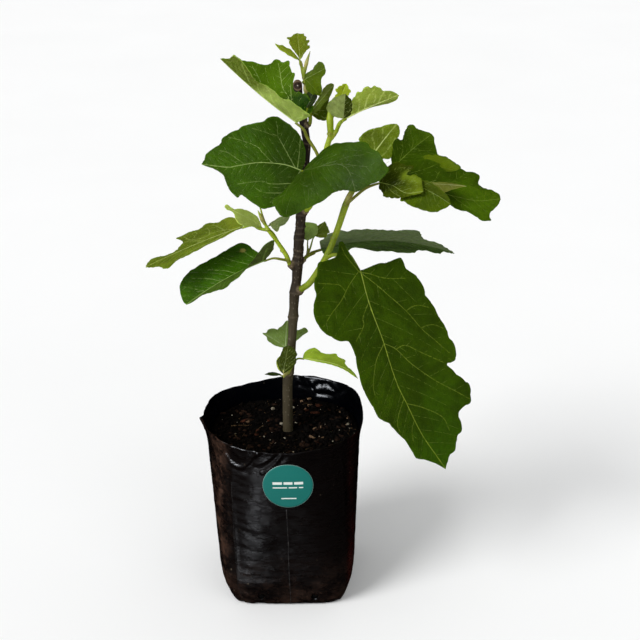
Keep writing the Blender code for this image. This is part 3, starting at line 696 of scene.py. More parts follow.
def scatter(bm, spots, shape, draw, sink=0.3, tilt=0.35):
    # puts one shape at each spot: x, y, length, width, height and turn
    for x, y, length, width, height, turn in spots:
        made = shape(bm)
        bmesh.ops.scale(bm, vec=(length, width, height), verts=made)
        for vert in made:
            vert.co *= 1 + 0.22 * draw.uniform(-1, 1)
        lean = Quaternion((draw.uniform(-1, 1), draw.uniform(-1, 1), 0.01), draw.uniform(-tilt, tilt))
        spin = Quaternion((0, 0, 1), math.radians(turn))
        bmesh.ops.rotate(bm, verts=made, cent=(0, 0, 0), matrix=(spin @ lean).to_matrix())
        bmesh.ops.translate(bm, verts=made, vec=(x, y, soilHeight(x, y) + height * (1 - sink)))


def lumpShape(bm):
    return bmesh.ops.create_icosphere(bm, subdivisions=1, radius=1)["verts"]


def chipShape(bm):
    return bmesh.ops.create_cone(bm, cap_ends=True, segments=7, radius1=1, radius2=0.85, depth=2)["verts"]


def strawShape(bm):
    return bmesh.ops.create_cone(bm, cap_ends=True, segments=5, radius1=1, radius2=0.7, depth=2, matrix=Quaternion((0, 1, 0), math.pi / 2).to_matrix().to_4x4())["verts"]


def makeSoilBits():
    draw = random.Random(bits["seed"])
    turns = lambda: draw.uniform(0, 360)
    looks = {
        "soil_crumbs": soilLook("soilCrumb", (0.0006, 0.0004, 0.0003), (0.0065, 0.0040, 0.0025), 400),
        "bark_chips": soilLook("barkChip", (0.006, 0.003, 0.002), (0.032, 0.016, 0.009), 300),
        "pale_chips": soilLook("paleChip", (0.11, 0.065, 0.036), (0.27, 0.17, 0.10), 300),
        "rust_chips": soilLook("rustChip", (0.020, 0.006, 0.003), (0.075, 0.026, 0.014), 300),
        "perlite_grains": soilLook("paleGrain", (0.20, 0.17, 0.12), (0.42, 0.38, 0.30), 500),
        "straw_bits": soilLook("strawBit", (0.050, 0.030, 0.013), (0.15, 0.095, 0.045), 400),
    }
    heaps = {name: [] for name in looks}
    for _ in range(bits["crumbs"]):
        size = draw.uniform(0.6, 1.9) * (1 if draw.random() < 0.9 else 1.7)
        heaps["soil_crumbs"].append((*soilSpot(draw), size * draw.uniform(0.8, 1.4), size, size * 0.75, turns()))
    for _ in range(bits["barkChips"]):
        size = draw.uniform(1.4, 4.2)
        heaps["bark_chips"].append((*soilSpot(draw), size, size * draw.uniform(0.35, 0.8), size * 0.22, turns()))
    for _ in range(bits["grains"]):
        size = draw.uniform(0.35, 0.85)
        heaps["perlite_grains"].append((*soilSpot(draw), size, size * 0.9, size * 0.8, turns()))
    for _ in range(bits["straws"]):
        size = draw.uniform(2.2, 6.0)
        heaps["straw_bits"].append((*soilSpot(draw), size, 0.25, 0.2, turns()))
    for name, key in (("pale_chips", "paleChips"), ("rust_chips", "rustChips")):
        for x, y, length, width, turn in bits[key]:
            heaps[name].append((x, y, length / 2, width / 2, 0.8, turn))
    for x, y, size in bits["paleGrains"]:
        heaps["perlite_grains"].append((x, y, size, size * 0.9, size * 0.8, turns()))
    for x, y, length, turn in bits["longStraws"]:
        heaps["straw_bits"].append((x, y, length / 2, 0.4, 0.35, turn))
    shapes = {"soil_crumbs": lumpShape, "perlite_grains": lumpShape, "straw_bits": strawShape}
    for name, spots in heaps.items():
        bm = bmesh.new()
        scatter(bm, spots, shapes.get(name, chipShape), draw)
        bmesh.ops.recalc_face_normals(bm, faces=bm.faces)
        addPiece(name, bm, [looks[name]])


# Woody stem

stem = {
    "voxel": 0.62,
    "route": (  # x, y, z and radius
        (0, 6, 110, 5.2), (0, 6, 170, 5.3), (0, 6, 222, 5.0), (2, 6, 240, 5.2), (5, 6, 273, 4.3), (6, 6, 290, 4.5),
        (6.5, 6, 298, 5.4), (7, 6, 306, 4.5), (8, 6, 324, 5.2), (10, 6, 336, 4.6), (11, 6, 352, 5.4),
        (12, 6, 366, 4.6), (12.5, 6, 379, 4.9), (14, 6, 392, 4.5), (15, 6, 406, 4.9), (17, 6, 430, 4.0),
        (18.5, 6, 449, 3.9), (20.5, 6, 472, 3.9), (20, 6, 480, 3.7), (17.3, 3, 499, 4.0), (13.5, 0, 519, 4.1),
        (12.3, -3, 538, 4.4),
    ),
    "knuckles": {  # foot on the stem's axis, direction out, length and radius
        "right_branch": ((8, 6, 322), (15, -12, 17), 10.6, 4.0),
        "left_shoot": ((11, 6, 348), (-12, -5, 12), 10.0, 3.6),
        "middle_shoot": ((15, 6, 405), (9, -12, 13), 9.8, 3.5),
        "back_shoot": ((11.5, 6, 354), (10, 7, 6), 7.4, 3.0),
        "base_shoot": ((1.5, 6, 236), (-1, -10, 4), 7.0, 3.2),
        "top_shoot": ((18, 4, 491), (7, -6, 7), 8.0, 2.6),
    },
    "cut": ((12.5, -2.5, 532.5), (0, -0.75, 0.66)),  # a place on the sawn top and the way it faces
    "scars": (236, 298, 324, 357, 363, 369, 380, 386, 392, 405, 411, 448, 476, 500),  # heights of the ring scars
}


def onStem(height):
    # the stem's middle at a height
    route = stem["route"]
    for (x1, y1, z1, _), (x2, y2, z2, _) in zip(route, route[1:]):
        if z1 <= height <= z2:
            share = (height - z1) / (z2 - z1)
            return Vector((x1 + (x2 - x1) * share, y1 + (y2 - y1) * share, height))
    return Vector(route[0 if height < route[0][2] else -1][:3])


def barkLook():
    look, tree, shader, place = newLook("figBark", {"Specular IOR Level": 0.06})
    _, _, z = addNode(tree, "SeparateXYZ", {"Vector": place}).outputs
    patchy = cloudy(tree, place, 60, 4, 0.6)
    streaks = cloudy(tree, stretched(tree, place, (700, 700, 60)), 1.0, 5, 0.65)
    fine = cloudy(tree, place, 900, 4, 0.6)
    height = combine(tree, "ADD", z, combine(tree, "MULTIPLY", patchy, 0.03))
    old = mixPaint(tree, patchy, paint((0.045, 0.035, 0.018)), paint((0.078, 0.063, 0.034)))
    young = mixPaint(tree, patchy, paint((0.022, 0.014, 0.009)), paint((0.044, 0.030, 0.018)))
    colour = mixPaint(tree, rescale(tree, height, 0.30, 0.36), old, young)
    colour = mixPaint(tree, rescale(tree, height, 0.42, 0.47), colour, paint((0.016, 0.010, 0.009)))
    colour = mixPaint(tree, rescale(tree, streaks, 0.45, 0.75, 0.0, 0.35), colour, paint((0.10, 0.080, 0.048)))
    lenticel = rescale(tree, cells(tree, stretched(tree, place, (330, 330, 200)), 1.0, "F1"), 0.26, 0.14)
    colour = mixPaint(tree, combine(tree, "MULTIPLY", lenticel, 0.5), colour, paint((0.20, 0.16, 0.11)))
    scar = attribute(tree, "scar")
    colour = mixPaint(tree, combine(tree, "MULTIPLY", scar, 0.30), colour, paint((0.17, 0.13, 0.085)))
    pale = attribute(tree, "pale")
    colour = mixPaint(tree, pale, colour, mixPaint(tree, fine, paint((0.30, 0.20, 0.10)), paint((0.50, 0.40, 0.24))))
    centre, facing = stem["cut"]
    away = addNode(tree, "VectorMath", {"Vector": place}, operation="SUBTRACT")
    away.inputs[1].default_value = [v / 1000 for v in centre]
    depth = addNode(tree, "VectorMath", {"Vector": away.outputs["Vector"]}, operation="DOT_PRODUCT")
    depth.inputs[1].default_value = facing
    onCut = rescale(tree, depth.outputs["Value"], -0.0004, -0.0001)
    reach = addNode(tree, "VectorMath", {"Vector": away.outputs["Vector"]}, operation="LENGTH").outputs["Value"]
    wood = mixPaint(tree, rescale(tree, fine, 0.4, 0.7), paint((0.014, 0.008, 0.005)), paint((0.055, 0.032, 0.020)))
    wood = mixPaint(tree, rescale(tree, reach, 0.0030, 0.0046, 0.0, 0.75), wood, paint((0.20, 0.135, 0.075)))
    wood = mixPaint(tree, rescale(tree, reach, 0.0007, 0.0004), wood, paint((0.55, 0.50, 0.42)))
    colour = mixPaint(tree, onCut, colour, wood)
    normal = bumped(tree, streaks, 0.0006, 0.7)
    normal = bumped(tree, fine, 0.0002, 0.6, normal)
    normal = bumped(tree, lenticel, 0.0003, 0.6, normal)
    plug(tree, shader, colour=colour, roughness=rescale(tree, streaks, 0.3, 0.7, 0.62, 0.82), normal=normal)
    return look


def knuckleEnd(name, extra):
    foot, direction, length, _ = stem["knuckles"][name]
    return Vector(foot) + Vector(direction).normalized() * (length + extra)


def makeStem():
    bm = bmesh.new()
    rollTube(bm, spaced(stem["route"], 3), 20)
    for name, (foot, _, _, radius) in stem["knuckles"].items():
        middle = Vector(foot).lerp(knuckleEnd(name, 0), 0.6)
        end = knuckleEnd(name, 0.8)
        rollTube(bm, [(*foot, radius * 1.08), (*middle, radius * 1.12), (*end, radius * 1.02)], 14)
    bm = fused(bm, stem["voxel"])
    centre, facing = stem["cut"]
    everything = [*bm.verts, *bm.edges, *bm.faces]
    bmesh.ops.bisect_plane(bm, geom=everything, plane_co=centre, plane_no=facing, clear_outer=True)
    rim = [edge for edge in bm.edges if edge.is_boundary]
    bmesh.ops.triangle_fill(bm, edges=rim, use_beauty=True, normal=Vector(facing))
    bmesh.ops.recalc_face_normals(bm, faces=bm.faces)
    scar = bm.verts.layers.float.new("scar")
    pale = bm.verts.layers.float.new("pale")
    collars = [knuckleEnd(name, 0.6) for name in stem["knuckles"]]
    for vert in bm.verts:
        x, y, z = vert.co
        if (vert.co - Vector(centre)).dot(Vector(facing)) > -0.4:
            continue
        side = (vert.co - onStem(z)).normalized()
        around = math.atan2(side.y, side.x)
        rings = max(bell(z - height - 0.7 * math.sin(around + height), 0.9) for height in stem["scars"])
        knobs = max(0, noise.noise(Vector((side.x * 3, side.y * 3, z / 5)))) * smoothShare(352, 360, z) * smoothShare(416, 404, z)
        grooves = noise.noise(Vector((side.x * 5, side.y * 5, z / 22)))
        vert[scar] = rings
        vert.co += vert.normal * (0.45 * rings + 1.1 * knobs + 0.22 * grooves)
        collar = max(bell((vert.co - place).length - 3.4, 1.3) for place in collars)
        vert[pale] = collar * (0.35 + 0.5 * max(0, noise.noise(vert.co / 1.8)))
    return addPiece("woody_stem", bm, [barkLook()], ["main_stem"])


# Green shoots: the route of each stem from its knuckle with radius, and the stalks that leave it

shoots = {
    # each shoot's brightness factor below is painted light and shade on its green
    "right_branch": dict(
        lightShadeTone=0.85,
        route=(
            (23, -6, 339, 3.2), (33, -12, 357, 3.1), (43, -18, 380, 3.0), (51, -23, 405, 3.0),
            (57, -27, 426, 3.3), (63, -29, 440, 2.6), (72, -30, 449, 2.2), (82, -30, 453, 2.0),
            (93, -31, 455, 1.4),
        ),
        nodes=((25, -7, 342, 3.6), (46, -20, 391, 3.4), (57, -27, 426, 3.6)),  # place and radius of each ring
        buds=(((57, -28, 431), (58.5, -30, 435), (60, -31, 440), 1.4),),  # foot, middle, tip and radius of each bud
        stalks={
            "leaf_large_hanging": ((35, -13, 361), (41, -22, 372), (49, -29, 377), (60, -35, 375)),
            "leaf_right_young": ((58, -28, 427), (66, -37, 438), (75, -47, 449)),
            "leaf_right_upright": ((66, -29, 444), (70, -29, 453)),
            "leaf_right_back": ((86, -29, 454),),
            "leaf_right_long": ((88, -30, 455),),
            "leaf_right_narrow": ((92, -31, 455), (97, -42, 459), (107, -51, 460)),
            "leaf_right_low": ((86, -31, 453), (96, -49, 445), (104, -60, 449)),
        },
    ),
    "left_shoot": dict(
        lightShadeTone=1.45,
        route=(
            (0, 2, 365, 2.3), (-9, 1, 380, 2.0), (-17, 0, 392, 1.9), (-20.5, 1, 400, 1.3),
            (-23, 2, 409, 0.9), (-25, 3, 417, 0.8),
        ),
        buds=(((-20, 0, 397), (-22.5, -1, 403), (-26.5, -1, 412), 2.2),),
        nodes=((-17, 0, 392, 2.7), (-3, 2, 369, 2.9)),
        stalks={
            "leaf_left_long": ((-17, 0, 391), (-26, 0, 393)),
            "leaf_left_pale": ((-19, 0, 393),),
            "leaf_left_small": ((-3, 2, 370), (-8, 3, 380), (-13, 4, 388)),
            "leaf_left_glossy": ((4, 3, 358), (-1, 1, 360), (-7, -1, 362)),
        },
    ),
    "middle_shoot": dict(
        lightShadeTone=1.15,
        route=(
            (24, -6, 419, 2.8), (31, -12, 440, 2.7), (36, -16, 461, 2.6), (39, -19, 478, 2.6),
            (42.5, -20, 490, 2.6), (42.5, -20.5, 496, 3.0), (42, -21, 506, 3.4), (41.5, -21, 514, 1.4),
        ),
        nodes=((42.3, -20, 492, 3.3, 3.4), (35.5, -15.5, 459, 3.0), (29, -10, 433, 3.1)),
        stalks={
            "leaf_young_right": ((43, -20, 487), (48, -21, 495)),
            "leaf_young_pale": ((50, -22, 498), (52, -28, 504)),
            "leaf_young_tiny": ((42, -20, 500), (45, -19, 508)),
            "leaf_top_left": ((35, -15.5, 460), (29, -14, 474), (21, -13, 487)),
            "leaf_centre_left": ((30, -11, 436), (24, -8, 446)),
            "leaf_centre_front": ((28, -10, 430), (26, -23, 442)),
        },
    ),
    "top_shoot": dict(
        lightShadeTone=0.72,
        route=(
            (24, 0, 503, 1.9), (23, 0.5, 515, 1.8), (21.5, 0.5, 528, 1.8), (18.5, 0.5, 539, 1.9),
            (16.5, 0.5, 548, 1.5), (15.5, 0.5, 554, 1.0),
        ),
        nodes=((18.5, 0.5, 539, 2.3), (20.5, 0.5, 532, 2.2), (24, 0.3, 505, 2.3)),
        buds=(((18.4, 0, 541), (20.7, -1, 553), (24.2, -1, 564), 1.9), ((22, -0.5, 519), (20, -2, 529), (19, -1, 539), 2.6)),
        stalks={
            "leaf_top_folded": ((24, 1, 502),),
            "leaf_top_blue": ((23.5, 0, 505), (22, -8, 510)),
            "leaf_top_right": ((20.5, 0, 532),),
            "leaf_tip_upright": ((16.5, 0.5, 548),),
            "leaf_tip_left": ((16.5, 0.5, 547),),
        },
    ),
    "back_shoot": dict(
        route=((20, 12, 359.5, 2.0), (23, 13, 361, 1.8)),
        nodes=((20, 12, 359.5, 2.3),),
        stalks={
            "leaf_mid_back": ((20, 12, 360), (21, 11, 368)),
            "leaf_mid_small": ((21, 12, 360), (24, 12, 370)),
            "leaf_back_right": ((21, 13, 360), (28, 17, 362)),
        },
    ),
    "base_shoot": dict(
        route=((0.5, -4, 240.5, 1.8), (0, -6, 243, 1.6), (-0.5, -7, 247, 0.7)),
        nodes=((0.5, -4, 240, 2.2),),
        buds=(((0, -6, 240), (-2, -8, 242.5), (-4, -8.5, 246), 2.1),),
        stalks={
            "leaf_base_right": ((1, -4, 240), (5, -5, 248)),
            "leaf_base_front": ((0, -5, 240),),
            "leaf_base_tiny": ((0, -4, 239.5),),
            "leaf_base_back": ((-1, -4, 240), (-8, -1, 243), (-10, 8, 249)),
        },
    ),
}

# Leaves: a blade bends along its rib, and its margin is given as flat points, across and along

leaves = {
    "leaf_top_left": dict(
        base=(12, -14, 501), heading=163, rise=31, roll=-8, length=91, droop=-12, spread=1.0,
        foldLeft=(56, 62), foldRight=(70, 25), teeth=12, toothDepth=0.6, wave=1.5,
        left=(
            (27, -9), (29, -3), (28, 8), (26, 16), (20, 21), (22, 31), (20, 40), (17, 46), (13, 51),
            (15, 55), (20, 62), (23, 69), (22, 78), (20, 83), (12, 84), (4, 89),
        ),
        right=(
            (17, -6), (23, 0), (26, 8), (24, 13), (24, 20), (28, 26), (36, 30), (35, 33), (39, 38),
            (46, 44), (43, 47), (44, 52), (41, 55), (34, 55), (28, 59), (21, 69), (14, 77),
        ),
        ribs=(
            ((0, 3), (14, 20), (18, 30), (28, 40), (40, 50)), ((0, 3), (9, 12), (18, 20), (25, 26)),
            ((0, 3), (-8, 1), (-17, -3), (-26, -2)), ((0, 4), (-8, 10), (-13, 18), (-18, 20)),
            ((0, 22), (-7, 30), (-15, 35), (-18, 40)), ((0, 36), (-6, 46), (-12, 49)),
            ((0, 50), (-7, 58), (-14, 64), (-20, 72)), ((0, 38), (12, 52), (18, 66)),
        ),
        look="bright", stalk=1.3, bold=1.1,
    ),
    "leaf_centre_left": dict(
        base=(16, -23, 458), heading=-166, rise=10, roll=-50, length=93, droop=10, spread=1.0,
        teeth=12, toothDepth=0.5, wave=1.5,
        left=(
            (5, 4), (19, 5), (33, 14), (38, 28), (41, 36), (38, 44), (32, 52), (28, 57), (31, 60),
            (30, 62), (23, 68), (15, 71), (9, 74), (4, 82), (2, 88),
        ),
        right=(
            (8, -3), (16, -4), (25, -3), (32, 0), (38, 3), (41, 7), (46, 11), (50, 17), (53, 23),
            (50, 31), (45, 37), (43, 46), (40, 55), (36, 60), (32, 67), (26, 74), (21, 75), (16, 82),
            (10, 89), (4, 90),
        ),
        rib=((0, 0), (4, 14), (5, 28), (4, 43), (0, 60), (-2, 70), (0, 93)),
        ribs=(
            ((2, 6), (17, 14), (32, 22), (34, 30), (38, 46)), ((2, 4), (15, 2), (28, 1), (36, 0)),
            ((5, 27), (16, 38), (20, 42), (26, 58), (28, 68)), ((2, 54), (10, 65), (13, 70), (14, 76)),
            ((0, 1), (-14, 10), (-24, 19), (-34, 30)), ((-14, 10), (-16, 30), (-14, 38), (-18, 60)),
            ((-24, 19), (-25, 36), (-21, 44)), ((33, 22), (41, 22), (48, 23)),
        ),
        look="glossy", bold=1.25,
    ),
    "leaf_centre_front": dict(
        base=(17, -32, 460), heading=-55, rise=35, roll=40, length=72, droop=75, sweep=45, spread=1.2,
        foldRight=(16, 8), teeth=12, toothDepth=0.4, wave=1.0,
        left=(
            (5, 4), (13, 11), (17, 14), (22, 18), (28, 25), (29, 33), (34, 42), (39, 49), (40, 54),
            (38, 58), (40, 65), (38, 71), (36, 77), (34, 82), (26, 82), (20, 81), (13, 77), (4, 74),
        ),
        right=(
            (12, 1), (22, 7), (38, 10), (50, 9), (55, 17), (58, 28), (59, 33), (54, 38), (43, 44),
            (32, 51), (22, 55), (12, 57), (4, 64),
        ),
        rib=((0, 0), (2, 16), (-2, 26), (-6, 36), (-10, 42), (-11, 54), (0, 72)),
        ribs=(
            ((-2, 26), (-11, 38), (-22, 48), (-30, 57)),
            ((2, 6), (14, 14), (22, 22), (22, 34), (24, 42), (30, 46)),
            ((2, 5), (22, 9), (41, 16), (50, 26)), ((-10, 42), (-18, 57), (-26, 69)),
            ((2, 8), (-8, 24), (-18, 36)),
        ),
        look="hazy",
    ),
    "leaf_young_right": dict(
        base=(55, -22, 507), heading=13, rise=24, roll=-60, length=54, droop=10,
        foldLeft=(30, 30), teeth=9, toothDepth=0.6, wave=0.8,
        left=(
            (4, 7), (4, 12), (3, 18), (7, 26), (8, 31), (13, 36), (17, 41), (22, 46), (20, 50),
            (14, 52), (5, 53),
        ),
        right=(
            (19, 13), (20, 15), (24, 19), (22, 22), (25, 26), (26, 30), (23, 32), (24, 35), (21, 37),
            (17, 40), (13, 41), (11, 44), (9, 48), (5, 51),
        ),
        ribs=(
            ((0, 20), (12, 26), (19, 33)), ((0, 14), (12, 18), (19, 18)), ((0, 29), (9, 33), (15, 32)),
            ((0, 34), (8, 39), (11, 42)), ((0, 42), (5, 47)), ((0, 6), (8, 10), (15, 11)),
            ((0, 16), (-6, 24), (-10, 30)),
        ),
        look="young", stalk=1.6, bold=2.0,
    ),
    "leaf_young_pale": dict(
        base=(54, -36, 511), heading=50, rise=83, roll=50, length=22, droop=0,
        teeth=6, toothDepth=0.8, wave=0.5,
        left=((8, 1), (16, 8), (13, 15), (7, 19)),
        right=((5, 2), (7, 8), (6, 16)),
        look="olive", bold=1.6, paleLeft=0.85,
    ),
    "leaf_young_tiny": dict(
        base=(48.5, -17, 517), heading=20, rise=66, roll=60, length=22, droop=5, spread=1.4,
        foldLeft=(20, 20), foldRight=(20, 20), teeth=6, toothDepth=1.4, wave=0.4,
        left=((3, 3), (6, 7), (4, 10), (7, 14), (5, 17), (3, 20)),
        right=((3, 2), (3, 6), (7, 9), (5, 12), (7, 16), (4, 19)),
        look="lime",
    ),
    "leaf_tip_upright": dict(
        base=(15, -2, 556), heading=114, rise=77, roll=0, length=24, droop=5, spread=1.0,
        foldLeft=(12, 12), foldRight=(12, 12), teeth=8, toothDepth=0.4, wave=0.5,
        left=((2, 4), (5, 8), (8, 12), (10, 17), (8, 17.5), (12, 20), (10, 21), (7, 21), (4, 23)),
        right=(
            (2, 2), (4, 5), (7, 8), (8, 9), (10, 10), (10, 12), (8, 12), (9, 14), (10.5, 16), (9, 17),
            (7, 17), (8, 20), (6, 21), (6, 23), (3, 23),
        ),
        look="spring",
    ),
    "leaf_tip_left": dict(
        base=(14, 2, 556), heading=-175, rise=34, roll=-30, length=26, droop=0,
        foldLeft=(15, 10), foldRight=(15, 10), teeth=6, toothDepth=0.3, wave=0.4,
        left=((4, 3), (4, 7), (5, 12), (4, 15), (5, 19), (4, 22), (2, 25)),
        right=((2, 5), (4, 10), (4, 13), (3, 15), (3, 19), (1, 22)),
        look="sprout",
    ),
    "leaf_top_right": dict(
        base=(19, -6, 539), heading=-12, rise=30, roll=40, length=22, droop=0,
        foldLeft=(15, 15), teeth=7, toothDepth=0.5, wave=0.6,
        left=((4, 2), (5, 7), (5, 11), (8, 14), (9, 18), (8, 20), (5, 22)),
        right=((12, 0), (20, 5), (26, 11), (23, 12), (18, 14), (11, 15), (8, 17), (6, 20), (3, 22)),
        look="sunny",
    ),
    "leaf_top_folded": dict(
        base=(24, 5, 505), heading=-5, rise=51, roll=58, length=35, droop=0,
        foldLeft=(50, 50), teeth=8, toothDepth=0.5, wave=0.8,
        left=((2, 7), (3, 16), (5, 23), (5, 30), (3, 34)),
        right=((5, 0), (12, 2), (17, 7), (15, 13), (9, 17), (5, 23), (3, 30)),
        look="folded", spots=(((1, 1), (2, 35), 4.2),), bold=1.6, paleLeft=0.8,
    ),
    "leaf_top_blue": dict(
        base=(21, -14, 515), heading=28, rise=62, roll=10, length=20, droop=0,
        foldLeft=(10, 10), teeth=6, toothDepth=0.4, wave=0.4,
        left=((5, 3), (7, 10), (4, 17)),
        right=((5, 3), (7, 10), (4, 17)),
        look="dusky",
    ),
    "leaf_right_upright": dict(
        base=(75, -28, 465), heading=20, rise=55, roll=-80, length=47, droop=15,
        teeth=10, toothDepth=0.6, wave=0.8,
        left=((11, 12), (19, 17), (16, 24), (10, 31), (11, 38), (9, 42), (4, 46)),
        right=((6, 15), (14, 15), (22, 16), (22, 26), (20, 29), (17, 32), (12, 36), (9, 40), (5, 44)),
        ribs=(
            ((2, 12), (3, 18), (13, 25), (16, 31)), ((1, 28), (5, 32), (9, 36)),
            ((0, 2), (-10, 17), (-10, 28), (-9, 35)), ((0, 2), (-16, 8), (-20, 14)),
        ),
        look="backlit", bold=2.0,
    ),
    "leaf_right_back": dict(
        base=(100, -20, 459), heading=41, rise=31, roll=20, length=59, droop=20, spread=1.7,
        teeth=12, toothDepth=0.6, wave=1.2,
        left=(
            (7, 7), (15, 16), (20, 25), (20, 31), (16, 31), (15, 34), (19, 40), (22, 47), (23, 52),
            (21, 56), (15, 55), (10, 57), (5, 59),
        ),
        right=(
            (20, 8), (42, 24), (49, 38), (45, 41), (38, 41), (30, 42), (25, 39), (20, 41), (15, 46),
            (10, 50), (5, 56),
        ),
        ribs=(
            ((0, 28), (-6, 38), (-13, 44), (-20, 51)), ((0, 10), (-7, 24), (-15, 32)),
            ((0, 2), (16, 14), (34, 26), (46, 36)), ((0, 30), (8, 34), (14, 40)),
        ),
        # these spots are painted sunlit patches
        look="leafy", spots=(((18, 30), (24, 34), 4.5), ((24, 34), (33, 37), 6.0), ((38, 34), (50, 34), 8.0)),
    ),
    "leaf_right_long": dict(
        base=(102, -34, 460), heading=-21, rise=6, roll=28, length=101, droop=40,
        teeth=13, toothDepth=0.6, wave=1.5,
        left=(
            (10, 4), (19, 26), (14, 38), (8, 43), (8, 47), (11, 53), (16, 58), (15, 64), (16, 72),
            (14, 76), (5, 77), (3, 80), (3, 85), (5, 91), (4, 98),
        ),
        right=(
            (16, 4), (30, 28), (24, 50), (28, 56), (32, 64), (32, 78), (34, 83), (35, 89), (30, 97),
            (27, 95), (20, 95), (16, 97), (8, 100),
        ),
        rib=((0, 0), (10, 20), (17, 45), (18, 64), (14, 81), (0, 101)),
        ribs=(
            ((18, 56), (26, 72), (28, 84)), ((9, 47), (2, 54), (-5, 59), (-13, 64)),
            ((15, 74), (8, 82), (3, 88)), ((4, 8), (-6, 26), (-16, 36)), ((4, 8), (14, 16), (22, 28)),
            ((14, 34), (6, 38), (-6, 40)),
        ),
        look="leafy",
    ),
    "leaf_right_young": dict(
        base=(87, -56, 457), heading=-51, rise=14, roll=45, length=48, droop=35, spread=1.8,
        teeth=11, toothDepth=0.9, wave=0.8,
        left=(
            (8, -3), (14, -1), (18, 1), (22, 7), (22, 13), (20, 22), (21, 29), (17, 28), (13, 25),
            (11, 25), (11, 29), (13, 33), (12, 38), (10, 42), (5, 45),
        ),
        right=((6, 3), (10, 10), (14, 14), (14, 21), (13, 28), (10, 35), (6, 41), (3, 46)),
        rib=((0, 0), (2, 17), (6, 34), (0, 48)),
        ribs=(
            ((2, 17), (-5, 31), (-9, 39)), ((0, 2), (-10, 4), (-17, 15), (-18, 27)),
            ((1, 8), (8, 20), (11, 30)),
        ),
        # these spots are painted light on the blade
        look="unfolding", stalk=1.15, spots=(((-10, 25), (-9, 38), 8.5, 0.0), ((3, 43), (6, 46), 6.5, 0.1)),
    ),
    "leaf_right_narrow": dict(
        base=(121, -59, 457), heading=-28, rise=9, roll=35, length=46, droop=10,
        teeth=8, toothDepth=0.5, wave=0.5,
        left=((1, 6), (2, 18), (2, 30), (1, 40)),
        right=((7, 5), (10, 11), (12, 18), (11, 25), (7, 31), (4, 37), (1.5, 42)),
        look="narrow",
    ),
    "leaf_right_low": dict(
        base=(114, -67, 460), heading=-41, rise=-4, roll=30, length=43, droop=30,
        foldLeft=(70, 70), teeth=9, toothDepth=0.6, wave=0.8,
        left=((6, 8), (9, 18), (8, 28), (5, 38)),
        right=(
            (20, 3), (20, 8), (22, 14), (22, 19), (20, 24), (19, 29), (18, 33), (14, 38), (11, 39),
            (5, 42),
        ),
        ribs=(
            ((0, 24), (6, 31), (9, 37)), ((0, 14), (8, 18), (15, 20)), ((0, 4), (10, 8), (18, 10)),
            ((0, 12), (-8, 18), (-14, 24)),
        ),
        look="sunny", bold=1.5, paleLeft=0.8,
    ),
    "leaf_left_long": dict(
        base=(-41, 0, 395), heading=-174, rise=-18, roll=1, length=102, droop=8,
        teeth=13, toothDepth=0.6, wave=1.5,
        left=(
            (6, 10), (9, 23), (13, 34), (19, 44), (23, 55), (22, 66), (30, 74), (33, 78), (26, 83),
            (17, 87), (10, 95), (5, 99),
        ),
        right=(
            (12, 1), (28, 6), (38, 12), (43, 18), (40, 25), (43, 33), (42, 38), (37, 43), (38, 47),
            (46, 55), (44, 61), (43, 69), (37, 67), (28, 63), (20, 62), (13, 65), (5, 69), (3, 75),
            (5, 83), (11, 91), (14, 97), (6, 101),
        ),
        ribs=(
            ((0, 8), (10, 23), (12, 32), (9, 42), (19, 54), (38, 61)),
            ((3, 18), (14, 21), (29, 26), (38, 30)), ((11, 34), (24, 34), (33, 36)),
            ((0, 38), (6, 46), (15, 54), (20, 59)), ((0, 14), (-8, 28), (-14, 50), (-20, 70)),
            ((18, 52), (28, 47), (35, 49)),
        ),
        look="pale", bold=1.7,
    ),
    "leaf_left_pale": dict(
        base=(-23, 0, 395), heading=-168, rise=38, roll=-30, length=41, droop=15,
        teeth=8, toothDepth=0.4, wave=0.8,
        left=((4, 4), (8, 10), (12, 17), (13, 22), (10, 27), (6, 29), (3, 31), (1.5, 34), (2.5, 38)),
        right=((8, 6), (9, 12), (9, 17), (8, 22), (6, 27), (3, 30), (1.5, 33), (3, 36), (4, 39), (2, 41)),
        look="silver", bold=1.3,
    ),
    "leaf_left_small": dict(
        base=(-16, 5, 395), heading=11, rise=21, roll=0, length=22, droop=0,
        teeth=6, toothDepth=0.3, wave=0.5,
        left=((3, 2), (5, 7), (7, 13), (4, 17)),
        right=((5, 1), (15, 2), (20, 4), (19, 8), (14, 12), (12, 17), (5, 20)),
        look="worn",
    ),
    "leaf_left_glossy": dict(
        base=(-20, -4, 362), heading=-156, rise=-13, roll=-22, length=88, droop=25,
        foldLeft=(72, 15), teeth=13, toothDepth=0.4, wave=1.0,
        left=(
            (16, -7), (25, -7), (35, -7), (35, -1), (28, 7), (22, 16), (18, 31), (13, 40), (14, 48),
            (10, 54), (7, 62), (3, 70), (3, 80),
        ),
        right=(
            (8, 1), (18, 4), (26, 6), (31, 10), (33, 16), (32, 27), (30, 39), (31, 46), (32, 56),
            (31, 63), (32, 68), (30, 74), (28, 80), (25, 83), (20, 86), (13, 88), (5, 89),
        ),
        ribs=(
            ((0, 14), (8, 20), (15, 26), (25, 34)), ((0, 32), (8, 38), (14, 45), (22, 53)),
            ((0, 48), (8, 54), (14, 60), (23, 70)), ((0, 66), (8, 72), (15, 77), (20, 81)),
            ((0, 3), (9, 9), (16, 12), (24, 14)), ((0, 3), (-12, 2), (-24, 0)),
            ((0, 10), (-10, 20), (-15, 32)),
        ),
        look="deep", spots=(((22, 13), (23, 14), 2.6),), bold=1.3, paleLeft=0.55,
    ),
    "leaf_base_back": dict(
        base=(-2, 13, 260), heading=85, rise=57, roll=0, length=30, droop=20,
        teeth=8, toothDepth=0.3, wave=0.6,
        left=(
            (10, 2), (18, 7), (20, 11), (24, 14), (20, 15), (19, 18), (17, 20), (12, 20), (9, 18),
            (8, 21), (4, 24), (2, 28),
        ),
        right=((11, 8), (14, 11), (19, 16), (22, 19), (18, 22), (14, 20), (11, 18), (7, 23)),
        look="sage", bold=1.8,
    ),
    "leaf_base_front": dict(
